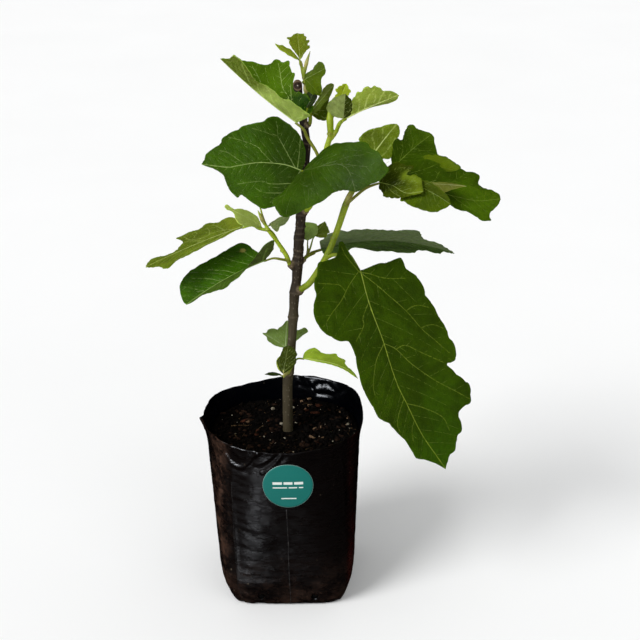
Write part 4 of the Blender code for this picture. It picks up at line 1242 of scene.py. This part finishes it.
        base=(-4, -9, 242), heading=40, rise=76, roll=0, length=30, droop=0,
        teeth=7, toothDepth=0.3, wave=0.5,
        left=((4, 1), (9, 5), (13, 9), (11, 12), (9, 16), (8, 21), (6, 26)),
        right=((6, 5), (13, 12), (15, 17), (14, 22), (15, 26), (9, 29), (4, 30)),
        look="olive", bold=1.3,
    ),
    "leaf_base_right": dict(
        base=(16, -8, 259), heading=-17, rise=1, roll=0, length=61, droop=10, hook=45,
        foldRight=(-28, -28), teeth=10, toothDepth=0.5, wave=0.8,
        left=(
            (9, -2), (14, -2), (20, -1), (24, 2), (25, 5), (22, 9), (17, 15), (16, 19), (19, 25),
            (20, 29), (15, 33), (15, 40), (9, 41), (6, 43), (3, 48), (2, 54),
        ),
        right=((1, 2), (2, 16), (2, 30), (2, 44), (2, 54)),
        look="fresh", stalk=1.0, spots=(((0, 60), (0, 66), 3.5),),
    ),
    "leaf_base_tiny": dict(
        base=(-6, -4, 239), heading=-166, rise=12, roll=0, length=17, droop=10,
        teeth=5, toothDepth=0.4, wave=0.3,
        left=((3, 4), (4, 10)),
        right=((3, 4), (4, 10)),
        look="dusky",
    ),
    "leaf_mid_back": dict(
        base=(21, 10, 377), heading=83, rise=42, roll=0, length=20, droop=0,
        teeth=6, toothDepth=0.5, wave=0.5,
        left=((7, 3), (10, 12), (6, 19)),
        right=((6, 4), (9, 10), (7, 18)),
        look="mist",
    ),
    "leaf_mid_small": dict(
        base=(27, 18, 379), heading=37, rise=41, roll=0, length=18, droop=0,
        teeth=6, toothDepth=0.5, wave=0.5,
        left=((5, 3), (5, 10)),
        right=((10, 1), (16, 8), (8, 14)),
        look="pale",
    ),
    "leaf_back_right": dict(
        base=(34, 20, 365), heading=6, rise=13, roll=-6, length=135, droop=35,
        teeth=14, toothDepth=0.6, wave=2.0,
        left=(
            (26, 2), (45, 18), (41, 30), (48, 38), (50, 46), (44, 63), (43, 75), (47, 86), (57, 95),
            (60, 103), (52, 107), (36, 106), (25, 108), (23, 114), (20, 124), (10, 131),
        ),
        right=(
            (24, 2), (30, 18), (22, 28), (20, 33), (30, 40), (39, 46), (44, 53), (42, 60), (43, 71),
            (44, 80), (38, 87), (27, 92), (23, 99), (25, 108), (21, 116), (12, 120), (7, 128),
        ),
        ribs=(((0, 3), (-16, 24), (-30, 58), (-44, 92)), ((0, 3), (16, 24), (28, 50), (36, 74)), ((0, 2), (20, 8), (34, 20)), ((0, 2), (-20, 8), (-36, 20))),
        look="dusty", paleLeft=0.75,
    ),
    "leaf_large_hanging": dict(
        base=(71, -42, 366), heading=-33, rise=-53, roll=18, length=215, droop=25,
        teeth=21, toothDepth=0.8, wave=3.0,
        left=(
            (8, 1), (23, 3), (30, 6), (37, 7), (46, 8), (48, 11), (47, 19), (50, 27), (53, 33),
            (54, 47), (52, 52), (55, 60), (57, 80), (58, 92), (56, 100), (58, 107), (54, 121),
            (48, 122), (42, 121), (46, 131), (55, 146), (59, 152), (56, 164), (53, 169), (45, 169),
            (37, 170), (34, 175), (34, 182), (33, 190), (26, 191), (22, 196), (16, 203), (7, 205),
        ),
        right=(
            (1, -8), (2, -20), (1, -31), (5, -33), (9, -28), (17, -23), (28, -24), (36, -26), (42, -19),
            (49, -14), (55, -7), (57, -1), (67, 7), (70, 15), (71, 23), (68, 32), (63, 40), (58, 46),
            (51, 50), (50, 57), (53, 70), (56, 80), (59, 91), (58, 104), (56, 119), (53, 131),
            (46, 138), (44, 145), (37, 160), (34, 170), (32, 182), (28, 187), (20, 193), (8, 205),
        ),
        rib=((0, 0), (9, 30), (16, 69), (20, 103), (20, 126), (14, 171), (0, 215)),
        ribs=(
            ((2, 0), (-6, 6), (-21, 18), (-41, 28)),
            ((2, 0), (-10, 23), (-23, 52), (-31, 77), (-38, 91), (-50, 114)),
            ((16, 70), (6, 81), (-4, 102), (-21, 127), (-37, 146), (-54, 166)),
            ((6, 81), (-6, 83), (-20, 98), (-39, 118)), ((19, 132), (2, 146), (-15, 165), (-18, 181)),
            ((-31, 77), (-39, 78), (-48, 82), (-55, 89)), ((-26, 55), (-34, 55), (-42, 58), (-50, 64)),
            ((3, 0), (18, 6), (36, 15), (51, 20), (66, 27)), ((26, 9), (28, 2), (34, -2), (48, -10)),
            ((10, 30), (23, 39), (27, 46), (42, 54)), ((16, 70), (32, 80), (46, 98), (49, 110)),
            ((20, 126), (32, 136), (38, 145), (38, 152)), ((18, 151), (24, 158), (27, 169)),
            ((2, 0), (5, -14), (6, -21), (5, -28)),
        ),
        look="rich", bold=0.75,
    ),
}

foliage = {
    "thickness": 0.45,
    "cell": 1.25,  # size of a mesh cell on a blade
    "relax": 40,
    "puff": 0.9,  # how far a large blade swells between its veins
}

# Colours of the upper face, the under face and the veins, with how shiny the upper face is; the tip colours and the
# leafy and unfolding spots are painted light, and the under-face tip colour and the bright and glossy foot colours are
# painted shade
leafLooks = {
    # the rich tip colour is painted light
    "rich": dict(top=(0.027, 0.057, 0.0003), tip=(0.034, 0.092, 0.0006), under=(0.075, 0.115, 0.018), vein=(0.26, 0.34, 0.020), gloss=0.03, rough=0.50),
    # glossy: the foot colour is painted shade towards the stalk
    "glossy": dict(top=(0.036, 0.090, 0.0008), foot=(0.018, 0.043, 0.0003), footEnd=0.68, under=(0.085, 0.13, 0.024), vein=(0.30, 0.40, 0.11), gloss=0.05, rough=0.38),
    "hazy": dict(top=(0.029, 0.066, 0.0015), under=(0.09, 0.13, 0.03), vein=(0.085, 0.125, 0.020), gloss=0.03, rough=0.48),
    "deep": dict(top=(0.032, 0.092, 0.0008), under=(0.070, 0.100, 0.018), vein=(0.30, 0.44, 0.10), spot=(0.33, 0.28, 0.07), gloss=0.03, rough=0.42),
    # bright: the foot and under-face tip colours are painted shade
    "bright": dict(top=(0.070, 0.150, 0.0015), under=(0.34, 0.45, 0.085), underTipShade=(0.085, 0.125, 0.004), foot=(0.010, 0.045, 0.0004), vein=(0.52, 0.64, 0.20), gloss=0.02, rough=0.52),
    # the leafy green is darkened with painted shadow, with a painted sunlit tip and spots
    "leafy": dict(top=(0.028, 0.058, 0.0003), spot=(0.098, 0.145, 0.0035), tip=(0.062, 0.122, 0.002), under=(0.10, 0.14, 0.012), vein=(0.16, 0.24, 0.020), gloss=0.02, rough=0.50),
    "sunny": dict(top=(0.055, 0.092, 0.0008), under=(0.060, 0.086, 0.002), vein=(0.20, 0.28, 0.03), gloss=0.03, rough=0.50),
    "backlit": dict(top=(0.08, 0.13, 0.01), under=(0.165, 0.245, 0.007), vein=(0.62, 0.72, 0.22), gloss=0.03, rough=0.55),
    "young": dict(top=(0.14, 0.20, 0.014), under=(0.31, 0.41, 0.042), vein=(0.80, 0.90, 0.32), gloss=0.03, rough=0.55),
    "lime": dict(top=(0.28, 0.36, 0.010), under=(0.28, 0.36, 0.010), vein=(0.42, 0.50, 0.08), gloss=0.03, rough=0.52),
    "fresh": dict(top=(0.32, 0.46, 0.030), spot=(0.035, 0.028, 0.004), under=(0.32, 0.46, 0.030), vein=(0.50, 0.62, 0.12), gloss=0.03, rough=0.52),
    "spring": dict(top=(0.150, 0.195, 0.008), under=(0.150, 0.195, 0.008), vein=(0.42, 0.50, 0.10), gloss=0.03, rough=0.55),
    "sprout": dict(top=(0.24, 0.31, 0.014), under=(0.24, 0.31, 0.014), vein=(0.38, 0.45, 0.10), gloss=0.03, rough=0.55),
    # the unfolding tip and spot colours are painted light
    "unfolding": dict(top=(0.033, 0.050, 0.0003), spot=(0.135, 0.190, 0.008), tip=(0.120, 0.165, 0.006), under=(0.15, 0.20, 0.03), vein=(0.24, 0.31, 0.05), gloss=0.02, rough=0.50),
    "olive": dict(top=(0.027, 0.040, 0.0002), under=(0.27, 0.34, 0.09), vein=(0.16, 0.20, 0.03), gloss=0.03, rough=0.52),
    "folded": dict(top=(0.058, 0.086, 0.0006), spot=(0.195, 0.270, 0.030), under=(0.22, 0.28, 0.055), vein=(0.34, 0.41, 0.13), gloss=0.03, rough=0.52),
    "sage": dict(top=(0.16, 0.245, 0.045), under=(0.16, 0.245, 0.045), vein=(0.42, 0.54, 0.22), gloss=0.04, rough=0.55),
    "mist": dict(top=(0.25, 0.36, 0.080), under=(0.25, 0.36, 0.080), vein=(0.30, 0.38, 0.10), gloss=0.04, rough=0.55),
    "narrow": dict(top=(0.112, 0.125, 0.016), under=(0.112, 0.125, 0.016), vein=(0.32, 0.36, 0.12), gloss=0.04, rough=0.55),
    "silver": dict(top=(0.42, 0.53, 0.10), under=(0.42, 0.53, 0.10), vein=(0.52, 0.60, 0.18), gloss=0.04, rough=0.58),
    "worn": dict(top=(0.19, 0.25, 0.075), under=(0.19, 0.25, 0.075), vein=(0.36, 0.40, 0.18), gloss=0.04, rough=0.55),
    "pale": dict(top=(0.112, 0.158, 0.008), foot=(0.175, 0.225, 0.013), under=(0.135, 0.185, 0.008), vein=(0.38, 0.45, 0.12), gloss=0.03, rough=0.55),
    "dusty": dict(top=(0.055, 0.102, 0.016), under=(0.17, 0.22, 0.095), vein=(0.14, 0.18, 0.07), gloss=0.05, rough=0.50),
    "dusky": dict(top=(0.014, 0.026, 0.001), under=(0.014, 0.026, 0.001), vein=(0.10, 0.14, 0.05), gloss=0.06, rough=0.52),
}


def midrib(leaf):
    # places and directions along a blade's middle: point, along, right and up
    steps = 40
    heading, rise = math.radians(leaf["heading"]), math.radians(leaf["rise"])
    along = Vector((math.cos(rise) * math.cos(heading), math.cos(rise) * math.sin(heading), math.sin(rise)))
    up = (Vector((0, 0, 1)) - along * along.z).normalized()
    up.rotate(Quaternion(along, math.radians(leaf["roll"])))
    right = along.cross(up)
    place = Vector(leaf["base"])
    found = []
    for i in range(steps + 1):
        share = i / steps
        sweep = Quaternion(up, -math.radians(leaf.get("sweep", 0)) * share)
        bend = math.radians(leaf["droop"]) * share + math.radians(leaf.get("hook", 0)) * share ** 3
        droop = Quaternion(sweep @ right, -bend)
        turn = droop @ sweep
        found.append((place.copy(), turn @ along, turn @ right, turn @ up))
        place += (turn @ along) * leaf["length"] / steps
    return found


def acrossRib(leaf, spine, along):
    steps = len(spine) - 1
    place = along / leaf["length"] * steps
    low = min(max(int(place), 0), steps - 1)
    if place <= 0 or place >= steps:
        point, ahead, right, up = spine[0 if place <= 0 else steps]
        extra = along if place <= 0 else along - leaf["length"]
        return point + ahead * extra, right, up
    share = place - low
    point, _, right, up = (a.lerp(b, share) for a, b in zip(spine[low], spine[low + 1]))
    return point, right, up


def bladePoint(leaf, spine, across, along, lift=0.0):
    # where a flat outline point lands on the bent and folded blade, with lift above its face
    point, right, up = acrossRib(leaf, spine, along)
    start, end = leaf.get("foldRight" if across > 0 else "foldLeft", (0, 0))
    ease = min(max(along / leaf["length"], 0) / 0.6, 1)
    fold = math.radians(start + (end - start) * ease * ease * (3 - 2 * ease))
    width = abs(across)
    turns = along / leaf["length"] * 2.5 + (0.25 if across > 0 else 0)
    wave = leaf["wave"] * math.sin(2 * math.pi * turns) * (2 * width / leaf["length"]) ** 2
    side = 1 if across > 0 else -1
    face = up * math.cos(fold) - right * side * math.sin(fold)
    lift += undulation(leaf, across, along)
    return point + right * across * math.cos(fold) + up * (width * math.sin(fold) + wave) + face * lift


def undulation(leaf, across, along):
    # a slow swell over the whole blade, none at its rib
    size = leaf["length"]
    spot = Vector((across / size * 5, along / size * 5, leaf["base"][0]))
    return 0.011 * size * noise.noise(spot) * min(abs(across) / (0.08 * size), 1)


def margin(leaf, side, rows):
    # the toothed edge of one half of a blade, as flat points from the stalk to the tip
    length = leaf["length"]
    flat = smoothPath([(0, 0, 0), *((a, b, 0) for a, b in leaf[side]), (0, length, 0)], rows + 1)
    edge = []
    for i, point in enumerate(flat):
        ahead = flat[min(i + 1, rows)] - flat[max(i - 1, 0)]
        outward = Vector((ahead.y, -ahead.x, 0)).normalized()
        turn = i / rows * leaf["teeth"]
        ease = min(1, 4 * i / rows, 4 * (rows - i) / rows)
        size = 1 + 0.5 * noise.noise(Vector((int(turn) * 1.7, length, 0.5)))
        tooth = leaf["toothDepth"] * size * (abs(math.sin(math.pi * turn)) ** 0.7 - 0.5) * ease
        edge.append((max(point.x + outward.x * tooth, 0), point.y + outward.y * tooth))
    edge[0], edge[-1] = (0, 0), (0, length)
    return edge


def insideOutline(x, y, outline):
    inside = False
    for (x1, y1), (x2, y2) in zip(outline, outline[1:] + outline[:1]):
        if (y1 > y) != (y2 > y) and x < (x2 - x1) * (y - y1) / (y2 - y1) + x1:
            inside = not inside
    return inside


def mainRibs(leaf):
    # the midrib and the large veins from it, as flat lines
    length = leaf["length"]
    ribs = [leaf.get("rib", ((0, 0), (0, length)))]
    if "ribs" in leaf:
        ribs += leaf["ribs"]
    else:
        for side, sign in (("left", -1), ("right", 1)):
            across, along = max(leaf[side], key=lambda point: point[0])
            ribs.append(((0, 0.03 * length), (0.45 * across * sign, 0.03 * length + 0.5 * along), (0.9 * across * sign, 0.97 * along)))
    return [smoothPath([(*point, 0) for point in rib], max(round(pathLength([(*p, 0) for p in rib]) / 1.2), 4)) for rib in ribs]


def growVeins(leaf, outline):
    # the large veins, then side veins that curve forward from each of them until they meet something
    length = leaf["length"]
    large = mainRibs(leaf)
    owners = [k for k, rib in enumerate(large) for _ in rib]
    tree = KDTree(len(owners))
    for index, point in enumerate(point for rib in large for point in rib):
        tree.insert(point, index)
    tree.balance()
    thick = (0.30 + 0.0030 * length) * leaf.get("bold", 1.0)
    veins = []
    for k, rib in enumerate(large):
        branch = 0.17 + 0.25 * min(pathLength(rib) / (0.4 * length), 1)
        veins.append((rib, thick * (branch if k else 1.0), 0.12 if k else 0.22, 1 if k else 0))
    gap = max(length / 13, 3.6)
    grown = {}  # points of the side veins, by the square of the flat blade they lie in
    mesh = 0.3 * gap

    def crowded(point, line):
        column, row = int(point.x // mesh), int(point.y // mesh)
        for i in (column - 1, column, column + 1):
            for j in (row - 1, row, row + 1):
                for other, owner in grown.get((i, j), ()):
                    if owner != line and (other - point).length < mesh:
                        return True
        return False

    for k, rib in enumerate(large):
        reach = pathLength(rib)
        count = int(reach / gap)
        for j in range(1, count + 1):
            for side in (-1, 1):
                place = (j - 0.5 + 0.22 * side) / max(count, 1)
                index = int(place * (len(rib) - 1))
                if not 0.06 < place < 0.96 or index + 1 >= len(rib):
                    continue
                point = rib[index].copy()
                ahead = (rib[index + 1] - rib[index]).normalized()
                angle = side * math.radians(58 - 14 * place)
                heading = math.atan2(ahead.y, ahead.x) + angle
                line = [point.copy()]
                for step in range(int(length)):
                    heading -= side * math.radians(1.4) * 30 / length
                    point = point + Vector((math.cos(heading), math.sin(heading), 0)) * 1.5
                    if not insideOutline(point.x, point.y, outline):
                        break
                    _, _, near = tree.find(point, filter=lambda index: owners[index] != k)
                    if step > 2 and near is not None and near < 0.14 * gap + 0.7:
                        break
                    if step > 2 and crowded(point, len(veins)):
                        break
                    line.append(point.copy())
                if len(line) > 3:
                    for knot in line:
                        grown.setdefault((int(knot.x // mesh), int(knot.y // mesh)), []).append((knot, len(veins)))
                    veins.append((line, thick * 0.27, 0.08, 2))
    return veins


def leafTopLook(name, under, paleLeft):
    # paleLeft is how far the left half, which is turned over, takes the under face's colour
    look = leafLooks[name]
    colours = look["under"] if under else look["top"]
    title = name + ("Under" if under else "Top") + ("Turned" if paleLeft else "")
    if title in bpy.data.materials:
        return bpy.data.materials[title]
    made, tree, shader, place = newLook(title, {
        "Specular IOR Level": look["gloss"] * (0.6 if under else 1),
        "Subsurface Weight": 0.18,
        "Subsurface Radius": (0.5, 1.0, 0.15),
        "Subsurface Scale": 0.0012,
    })
    flat = addNode(tree, "UVMap", uv_map="flat").outputs["UV"]
    patchy = cloudy(tree, place, 34, 4, 0.6)
    mottle = cloudy(tree, place, 260, 4, 0.6)
    colour = mixPaint(tree, rescale(tree, patchy, 0.3, 0.7), paint(colours, 0.74), paint(colours, 1.28))
    ahead = combine(tree, "ADD", attribute(tree, "towardTip"), combine(tree, "MULTIPLY", patchy, 0.3))
    # tip colours are painted light towards the tip; the under face's tip colour is painted shade over its tip half
    tip = look.get("underTipShade" if under else "tip")
    if tip:
        start, end = (0.42, 0.74) if under else (0.78, 1.20)
        colour = mixPaint(tree, rescale(tree, ahead, start, end), colour, paint(tip))
    # foot colours darken the blade towards the stalk as painted shade on the bright and glossy looks, and lighten it on
    # the pale look
    if "foot" in look and not under:
        colour = mixPaint(tree, rescale(tree, ahead, look.get("footEnd", 0.50), 0.22), colour, paint(look["foot"]))
    # spot colours are painted sunlit patches on the leafy and unfolding looks, and blemishes on the deep and fresh
    # looks
    if "spot" in look:
        colour = mixPaint(tree, attribute(tree, "spot"), colour, mixPaint(tree, mottle, paint(look["spot"], 0.75), paint(look["spot"], 1.25)))
    if paleLeft:
        turned = combine(tree, "MULTIPLY", attribute(tree, "leftHalf"), paleLeft)
        colour = mixPaint(tree, turned, colour, paint(look["under"]))
    colour = mixPaint(tree, rescale(tree, mottle, 0.35, 0.7, 0.0, 0.35), colour, paint(colours, 0.66))
    vein = attribute(tree, "vein")
    lifted = mixPaint(tree, 1.0, colour, paint((1.75, 1.65, 2.0)), "MULTIPLY")
    lighter = mixPaint(tree, 0.45, lifted, paint(look["vein"]))
    net = cells(tree, flat, 52)
    netted = rescale(tree, net, 0.085, 0.01, 0.0, 0.30 if under else 0.10)
    colour = mixPaint(tree, netted, colour, lighter)
    colour = mixPaint(tree, rescale(tree, vein, 0.1 if under else 0.27, 1.0, 0.0, 0.95 if under else 0.55), colour, lighter)
    edge = rescale(tree, attribute(tree, "edge"), 0.2, 1.0, 0.0, 0.35)
    colour = mixPaint(tree, edge, colour, paint(colours, 1.9))
    rough = rescale(tree, mottle, 0.3, 0.7, look["rough"] - 0.05, look["rough"] + 0.07)
    normal = bumped(tree, rescale(tree, net, 0.0, 0.22), 0.0009 if under else 0.0003, 0.6)
    normal = bumped(tree, mottle, 0.0005, 0.3, normal)
    plug(tree, shader, colour=colour, roughness=rough, normal=normal)
    return made


def veinLook(name, level):
    title = name + ("Midrib", "Vein", "SideVein")[level]
    if title in bpy.data.materials:
        return bpy.data.materials[title]
    strong, plain = ((1.0, 0.0), (0.70, 0.40), (0.38, 0.75))[level]
    colours = [strong * v + plain * c for v, c in zip(leafLooks[name]["vein"], leafLooks[name]["under"])]
    made, tree, shader, place = newLook(title, {"Specular IOR Level": 0.25})
    patchy = cloudy(tree, place, 120, 4, 0.6)
    colour = mixPaint(tree, rescale(tree, patchy, 0.3, 0.7), paint(colours, 0.72), paint(colours, 1.2))
    plug(tree, shader, colour=colour, roughness=rescale(tree, patchy, 0.3, 0.7, 0.45, 0.6), normal=bumped(tree, patchy, 0.0002, 0.4))
    return made


def veinTubes(leaf, spine, veins):
    curve = bpy.data.curves.new("veinTubes", "CURVE")
    curve.dimensions = "3D"
    curve.bevel_depth = 1
    for slot in range(5):
        curve.materials.append(None)
    curve.bevel_resolution = 1
    curve.use_fill_caps = True
    deep = foliage["thickness"]
    for line, start, end, level in veins:
        spline = curve.splines.new("POLY")
        spline.material_index = 2 + level
        spline.points.add(len(line) - 1)
        for k, (knot, point) in enumerate(zip(spline.points, line)):
            radius = start + (end - start) * (k / (len(line) - 1)) ** 0.8
            place = bladePoint(leaf, spine, point.x, point.y, -0.5 * deep * min(1, radius) - 0.45 * radius)
            knot.co = (*place, 1)
            knot.radius = radius
    guide = bpy.data.objects.new("veinTubes", curve)
    bpy.context.scene.collection.objects.link(guide)
    bm = bmesh.new()
    bm.from_mesh(guide.to_mesh())
    guide.to_mesh_clear()
    bpy.data.objects.remove(guide)
    bpy.data.curves.remove(curve)
    bmesh.ops.remove_doubles(bm, verts=bm.verts, dist=0.001)
    bmesh.ops.recalc_face_normals(bm, faces=bm.faces)
    return bm


def nearSpot(place, start, end, radius, sharp=0.75):
    # how much a flat place lies in a rounded patch from start to end
    start, reach = Vector((*start, 0)), Vector((*end, 0)) - Vector((*start, 0))
    share = min(max((place - start).dot(reach) / max(reach.length_squared, 1e-9), 0), 1)
    ragged = radius * (1 + 0.35 * noise.noise(place / 4))
    return smoothShare(ragged, sharp * ragged, (place - start - reach * share).length)


def makeLeaf(name, leaf):
    length = leaf["length"]
    spine = midrib(leaf)
    reach = max(pathLength([(0, 0, 0), *((a, b, 0) for a, b in leaf[side]), (0, length, 0)]) for side in ("left", "right"))
    cell = min(foliage["cell"], 0.35 + length / 60)
    rows = 2 * leaf["teeth"] * max(round(reach / cell / (2 * leaf["teeth"])), 3)
    columns = round(max(a for side in ("left", "right") for a, _ in leaf[side]) / cell)
    edges = {-1: margin(leaf, "left", rows), 1: margin(leaf, "right", rows)}
    outline = [(-a, b) for a, b in edges[-1]] + [(a, b) for a, b in reversed(edges[1][1:-1])]
    veins = growVeins(leaf, outline[::3])
    tree = KDTree(sum(len(line) for line, _, _, _ in veins))
    weights = []
    for line, start, end, level in veins:
        for point in line:
            tree.insert(point, len(weights))
            weights.append((1.0, 0.82, 0.31)[level])
    tree.balance()

    bm = bmesh.new()
    vein = bm.verts.layers.float.new("vein")
    edge = bm.verts.layers.float.new("edge")
    leftHalf = bm.verts.layers.float.new("leftHalf")
    towardTip = bm.verts.layers.float.new("towardTip")
    spot = bm.verts.layers.float.new("spot")
    flat = bm.loops.layers.uv.new("flat")
    bmesh.ops.create_grid(bm, x_segments=2 * columns, y_segments=rows, size=1)
    loose = []
    for vert in bm.verts:
        share = abs(vert.co.x)
        side = 1 if vert.co.x > 0 else -1
        row = round((vert.co.y + 1) / 2 * rows)
        across, along = edges[side][row]
        foot = length * (row / rows) ** leaf.get("spread", 1.6)
        vert[edge] = smoothShare(0.93, 1.0, share)
        vert[leftHalf] = 1 if side < 0 and share > 0.01 else 0
        vert[towardTip] = along / length
        vert.co = Vector((side * across * share, foot + (along - foot) * share, 0))
        if 0.001 < share < 0.999 and 0 < row < rows:
            loose.append(vert)
    for _ in range(foliage["relax"]):
        bmesh.ops.smooth_vert(bm, verts=loose, factor=0.5, use_axis_x=True, use_axis_y=True)
    bmesh.ops.remove_doubles(bm, verts=bm.verts, dist=0.01)
    for face in bm.faces:
        for loop in face.loops:
            loop[flat].uv = loop.vert.co.xy / 100
    if sum(face.normal.z for face in bm.faces) < 0:
        bmesh.ops.reverse_faces(bm, faces=bm.faces)
    puff = foliage["puff"] * min(length / 110, 1.3)
    halo = (0.5 + length / 300) * leaf.get("bold", 1.0)
    for vert in bm.verts:
        x, y = vert.co.x, vert.co.y
        _, index, away = tree.find(vert.co)
        vert[vein] = weights[index] * math.exp(-(away / halo) ** 2)
        vert[spot] = max((nearSpot(vert.co, *place) for place in leaf.get("spots", ())), default=0)
        swell = puff * (1 - math.exp(-(away / (1.5 + length / 50)) ** 2))
        swell += 0.10 * noise.noise(Vector((x / 3, y / 3, length)))
        vert.co = bladePoint(leaf, spine, x, y, swell)

    def giveThickness(guide):
        blade = guide.modifiers.new("blade", "SOLIDIFY")
        blade.thickness = foliage["thickness"]
        blade.offset = -1
        blade.material_offset = 1

    look, turned = leaf["look"], leaf.get("paleLeft", 0)
    bm = evaluated(bm, "bladeSheet", giveThickness)
    ribs = veinTubes(leaf, spine, veins)
    holder = bpy.data.meshes.new("ribs")
    ribs.to_mesh(holder)
    ribs.free()
    bm.from_mesh(holder)
    bpy.data.meshes.remove(holder)
    looks = [leafTopLook(look, False, turned), leafTopLook(look, True, 0), *(veinLook(look, level) for level in range(3))]
    return addPiece(name + "_blade", bm, looks, [name])


# Stalks and green stems


def shootLook(name, lightShadeTone):
    look, tree, shader, place = newLook(name, {"Specular IOR Level": 0.12, "Subsurface Weight": 0.1, "Subsurface Scale": 0.002})
    patchy = cloudy(tree, place, 45, 4, 0.6)
    fine = cloudy(tree, place, 700, 4, 0.6)
    # the stem green is scaled brighter or darker for each shoot: painted light and shade
    colour = mixPaint(tree, rescale(tree, patchy, 0.3, 0.7), paint((0.215, 0.290, 0.010), lightShadeTone), paint((0.320, 0.410, 0.022), lightShadeTone))
    colour = mixPaint(tree, rescale(tree, fine, 0.4, 0.75, 0.0, 0.3), colour, paint((0.085, 0.130, 0.005)))
    olive = attribute(tree, "olive")
    colour = mixPaint(tree, olive, colour, paint((0.135, 0.125, 0.020)))
    colour = mixPaint(tree, attribute(tree, "bud"), colour, mixPaint(tree, fine, paint((0.42, 0.46, 0.10)), paint((0.36, 0.27, 0.10))))
    brown = attribute(tree, "brown")
    colour = mixPaint(tree, brown, colour, mixPaint(tree, fine, paint((0.075, 0.030, 0.012)), paint((0.19, 0.10, 0.035))))
    normal = bumped(tree, fine, 0.0002, 0.5)
    plug(tree, shader, colour=colour, roughness=rescale(tree, fine, 0.3, 0.7, 0.42, 0.55), normal=normal)
    return look


def stalkRoute(leaf, starts, radius):
    spine = midrib(leaf)
    drop = foliage["thickness"] + radius * 0.6
    behind, _, upBehind = acrossRib(leaf, spine, -0.07 * leaf["length"] - 2)
    under, _, upUnder = acrossRib(leaf, spine, 1.5)
    points = [(*start, radius * 1.25) for start in starts]
    points.append((*(behind - upBehind * (drop + 0.8)), radius))
    points.append((*(under - upUnder * drop), radius * 0.9))
    return points


# Stalks whose colour runs to olive brown
oliveStalks = ("leaf_top_left", "leaf_right_young", "leaf_left_glossy", "leaf_mid_back", "leaf_back_right", "leaf_right_upright")


def makeShoot(name, shoot, look):
    radius = shoot["route"][0][3]
    foot = [(*knuckleEnd(name, -1.5), radius * 0.95), (*knuckleEnd(name, 1.5), radius)]
    bm = bmesh.new()
    rollTube(bm, [foot[0], *spaced([foot[1], *shoot["route"]], 2.5)], 18)
    dull = []
    for leafName, starts in shoot["stalks"].items():
        leaf = leaves[leafName]
        thin = leaf.get("stalk", min(max(leaf["length"] / 80, 0.8), 1.5))
        route = spaced(stalkRoute(leaf, starts, thin), 2.5)
        if leafName in oliveStalks:
            dull += [Vector(point[:3]) for point in route[1:]]
        rollTube(bm, route, 12)
    for x, y, z, size, *_ in shoot["nodes"]:
        bump = bmesh.ops.create_icosphere(bm, subdivisions=3, radius=size)["verts"]
        bmesh.ops.scale(bm, vec=(1, 1, 0.55), verts=bump)
        bmesh.ops.translate(bm, vec=(x, y, z), verts=bump)
    for low, middle, tip, size in shoot.get("buds", ()):
        rollTube(bm, spaced([(*low, size * 0.6), (*middle, size), (*tip, 0.35)], 1.0), 12)
    bm = fused(bm, 0.42, 3)
    brown = bm.verts.layers.float.new("brown")
    olive = bm.verts.layers.float.new("olive")
    bud = bm.verts.layers.float.new("bud")
    collar = knuckleEnd(name, 0.5)
    rings = [(Vector(node[:3]), node[4] if len(node) > 4 else 1.0) for node in shoot["nodes"]]
    for vert in bm.verts:
        near = 0
        for place, wide in rings:
            level = vert.co.z - place.z + 0.25 * (vert.co.x - place.x)
            near = max(near, bell(level, wide) * bell((vert.co - place).length, 4.5 + wide))
        foot = bell((vert.co - collar).length, 3.0)
        blotch = 0.5 + 0.8 * noise.noise(vert.co / 1.5)
        vert[brown] = min(max(0.75 * near * blotch, 0.8 * foot * blotch, 0), 1)
        inBud = max((bell((vert.co - Vector(middle)).length, 4.5) for _, middle, _, _ in shoot.get("buds", ())), default=0)
        vert[bud] = min(1.4 * inBud, 1)
        vert[olive] = 0.75 if dull and min((vert.co - spot).length for spot in dull) < 2.6 else 0.0
    return addPiece(name + "_stems", bm, [look], [name])


def makeFloor():
    look, tree, shader, place = newLook("studioFloor", {"Specular IOR Level": 0.1})
    faint = cloudy(tree, place, 3, 3)
    colour = mixPaint(tree, faint, paint(studio["floorColour"], 0.985), paint(studio["floorColour"], 1.015))
    plug(tree, shader, colour=colour, roughness=rescale(tree, faint, 0.2, 0.8, 0.85, 0.95))
    bm = bmesh.new()
    bmesh.ops.create_grid(bm, x_segments=2, y_segments=2, size=studio["floorSize"] / 2)
    mesh = bpy.data.meshes.new("studio_floor")
    bm.to_mesh(mesh)
    bm.free()
    floor = bpy.data.objects.new("studio_floor", mesh)
    mesh.materials.append(look)
    bpy.context.scene.collection.objects.link(floor)
    floor.visible_glossy = False
    floor.visible_shadow = False


makeCamera()
makeLamps()
makeFloor()
print("camera, lamps and floor ready")
makeBag()
makeSeams()
makeLabel()
print("bag and label ready")
makeSoil()
makeSoilBits()
print("soil ready")
makeStem()
for shootName, shoot in shoots.items():
    makeShoot(shootName, shoot, shootLook(shootName + "_green", shoot.get("lightShadeTone", 1.0)))
print("stem and shoots ready")
for leafName, leafShape in leaves.items():
    makeLeaf(leafName, leafShape)
print("leaves ready")
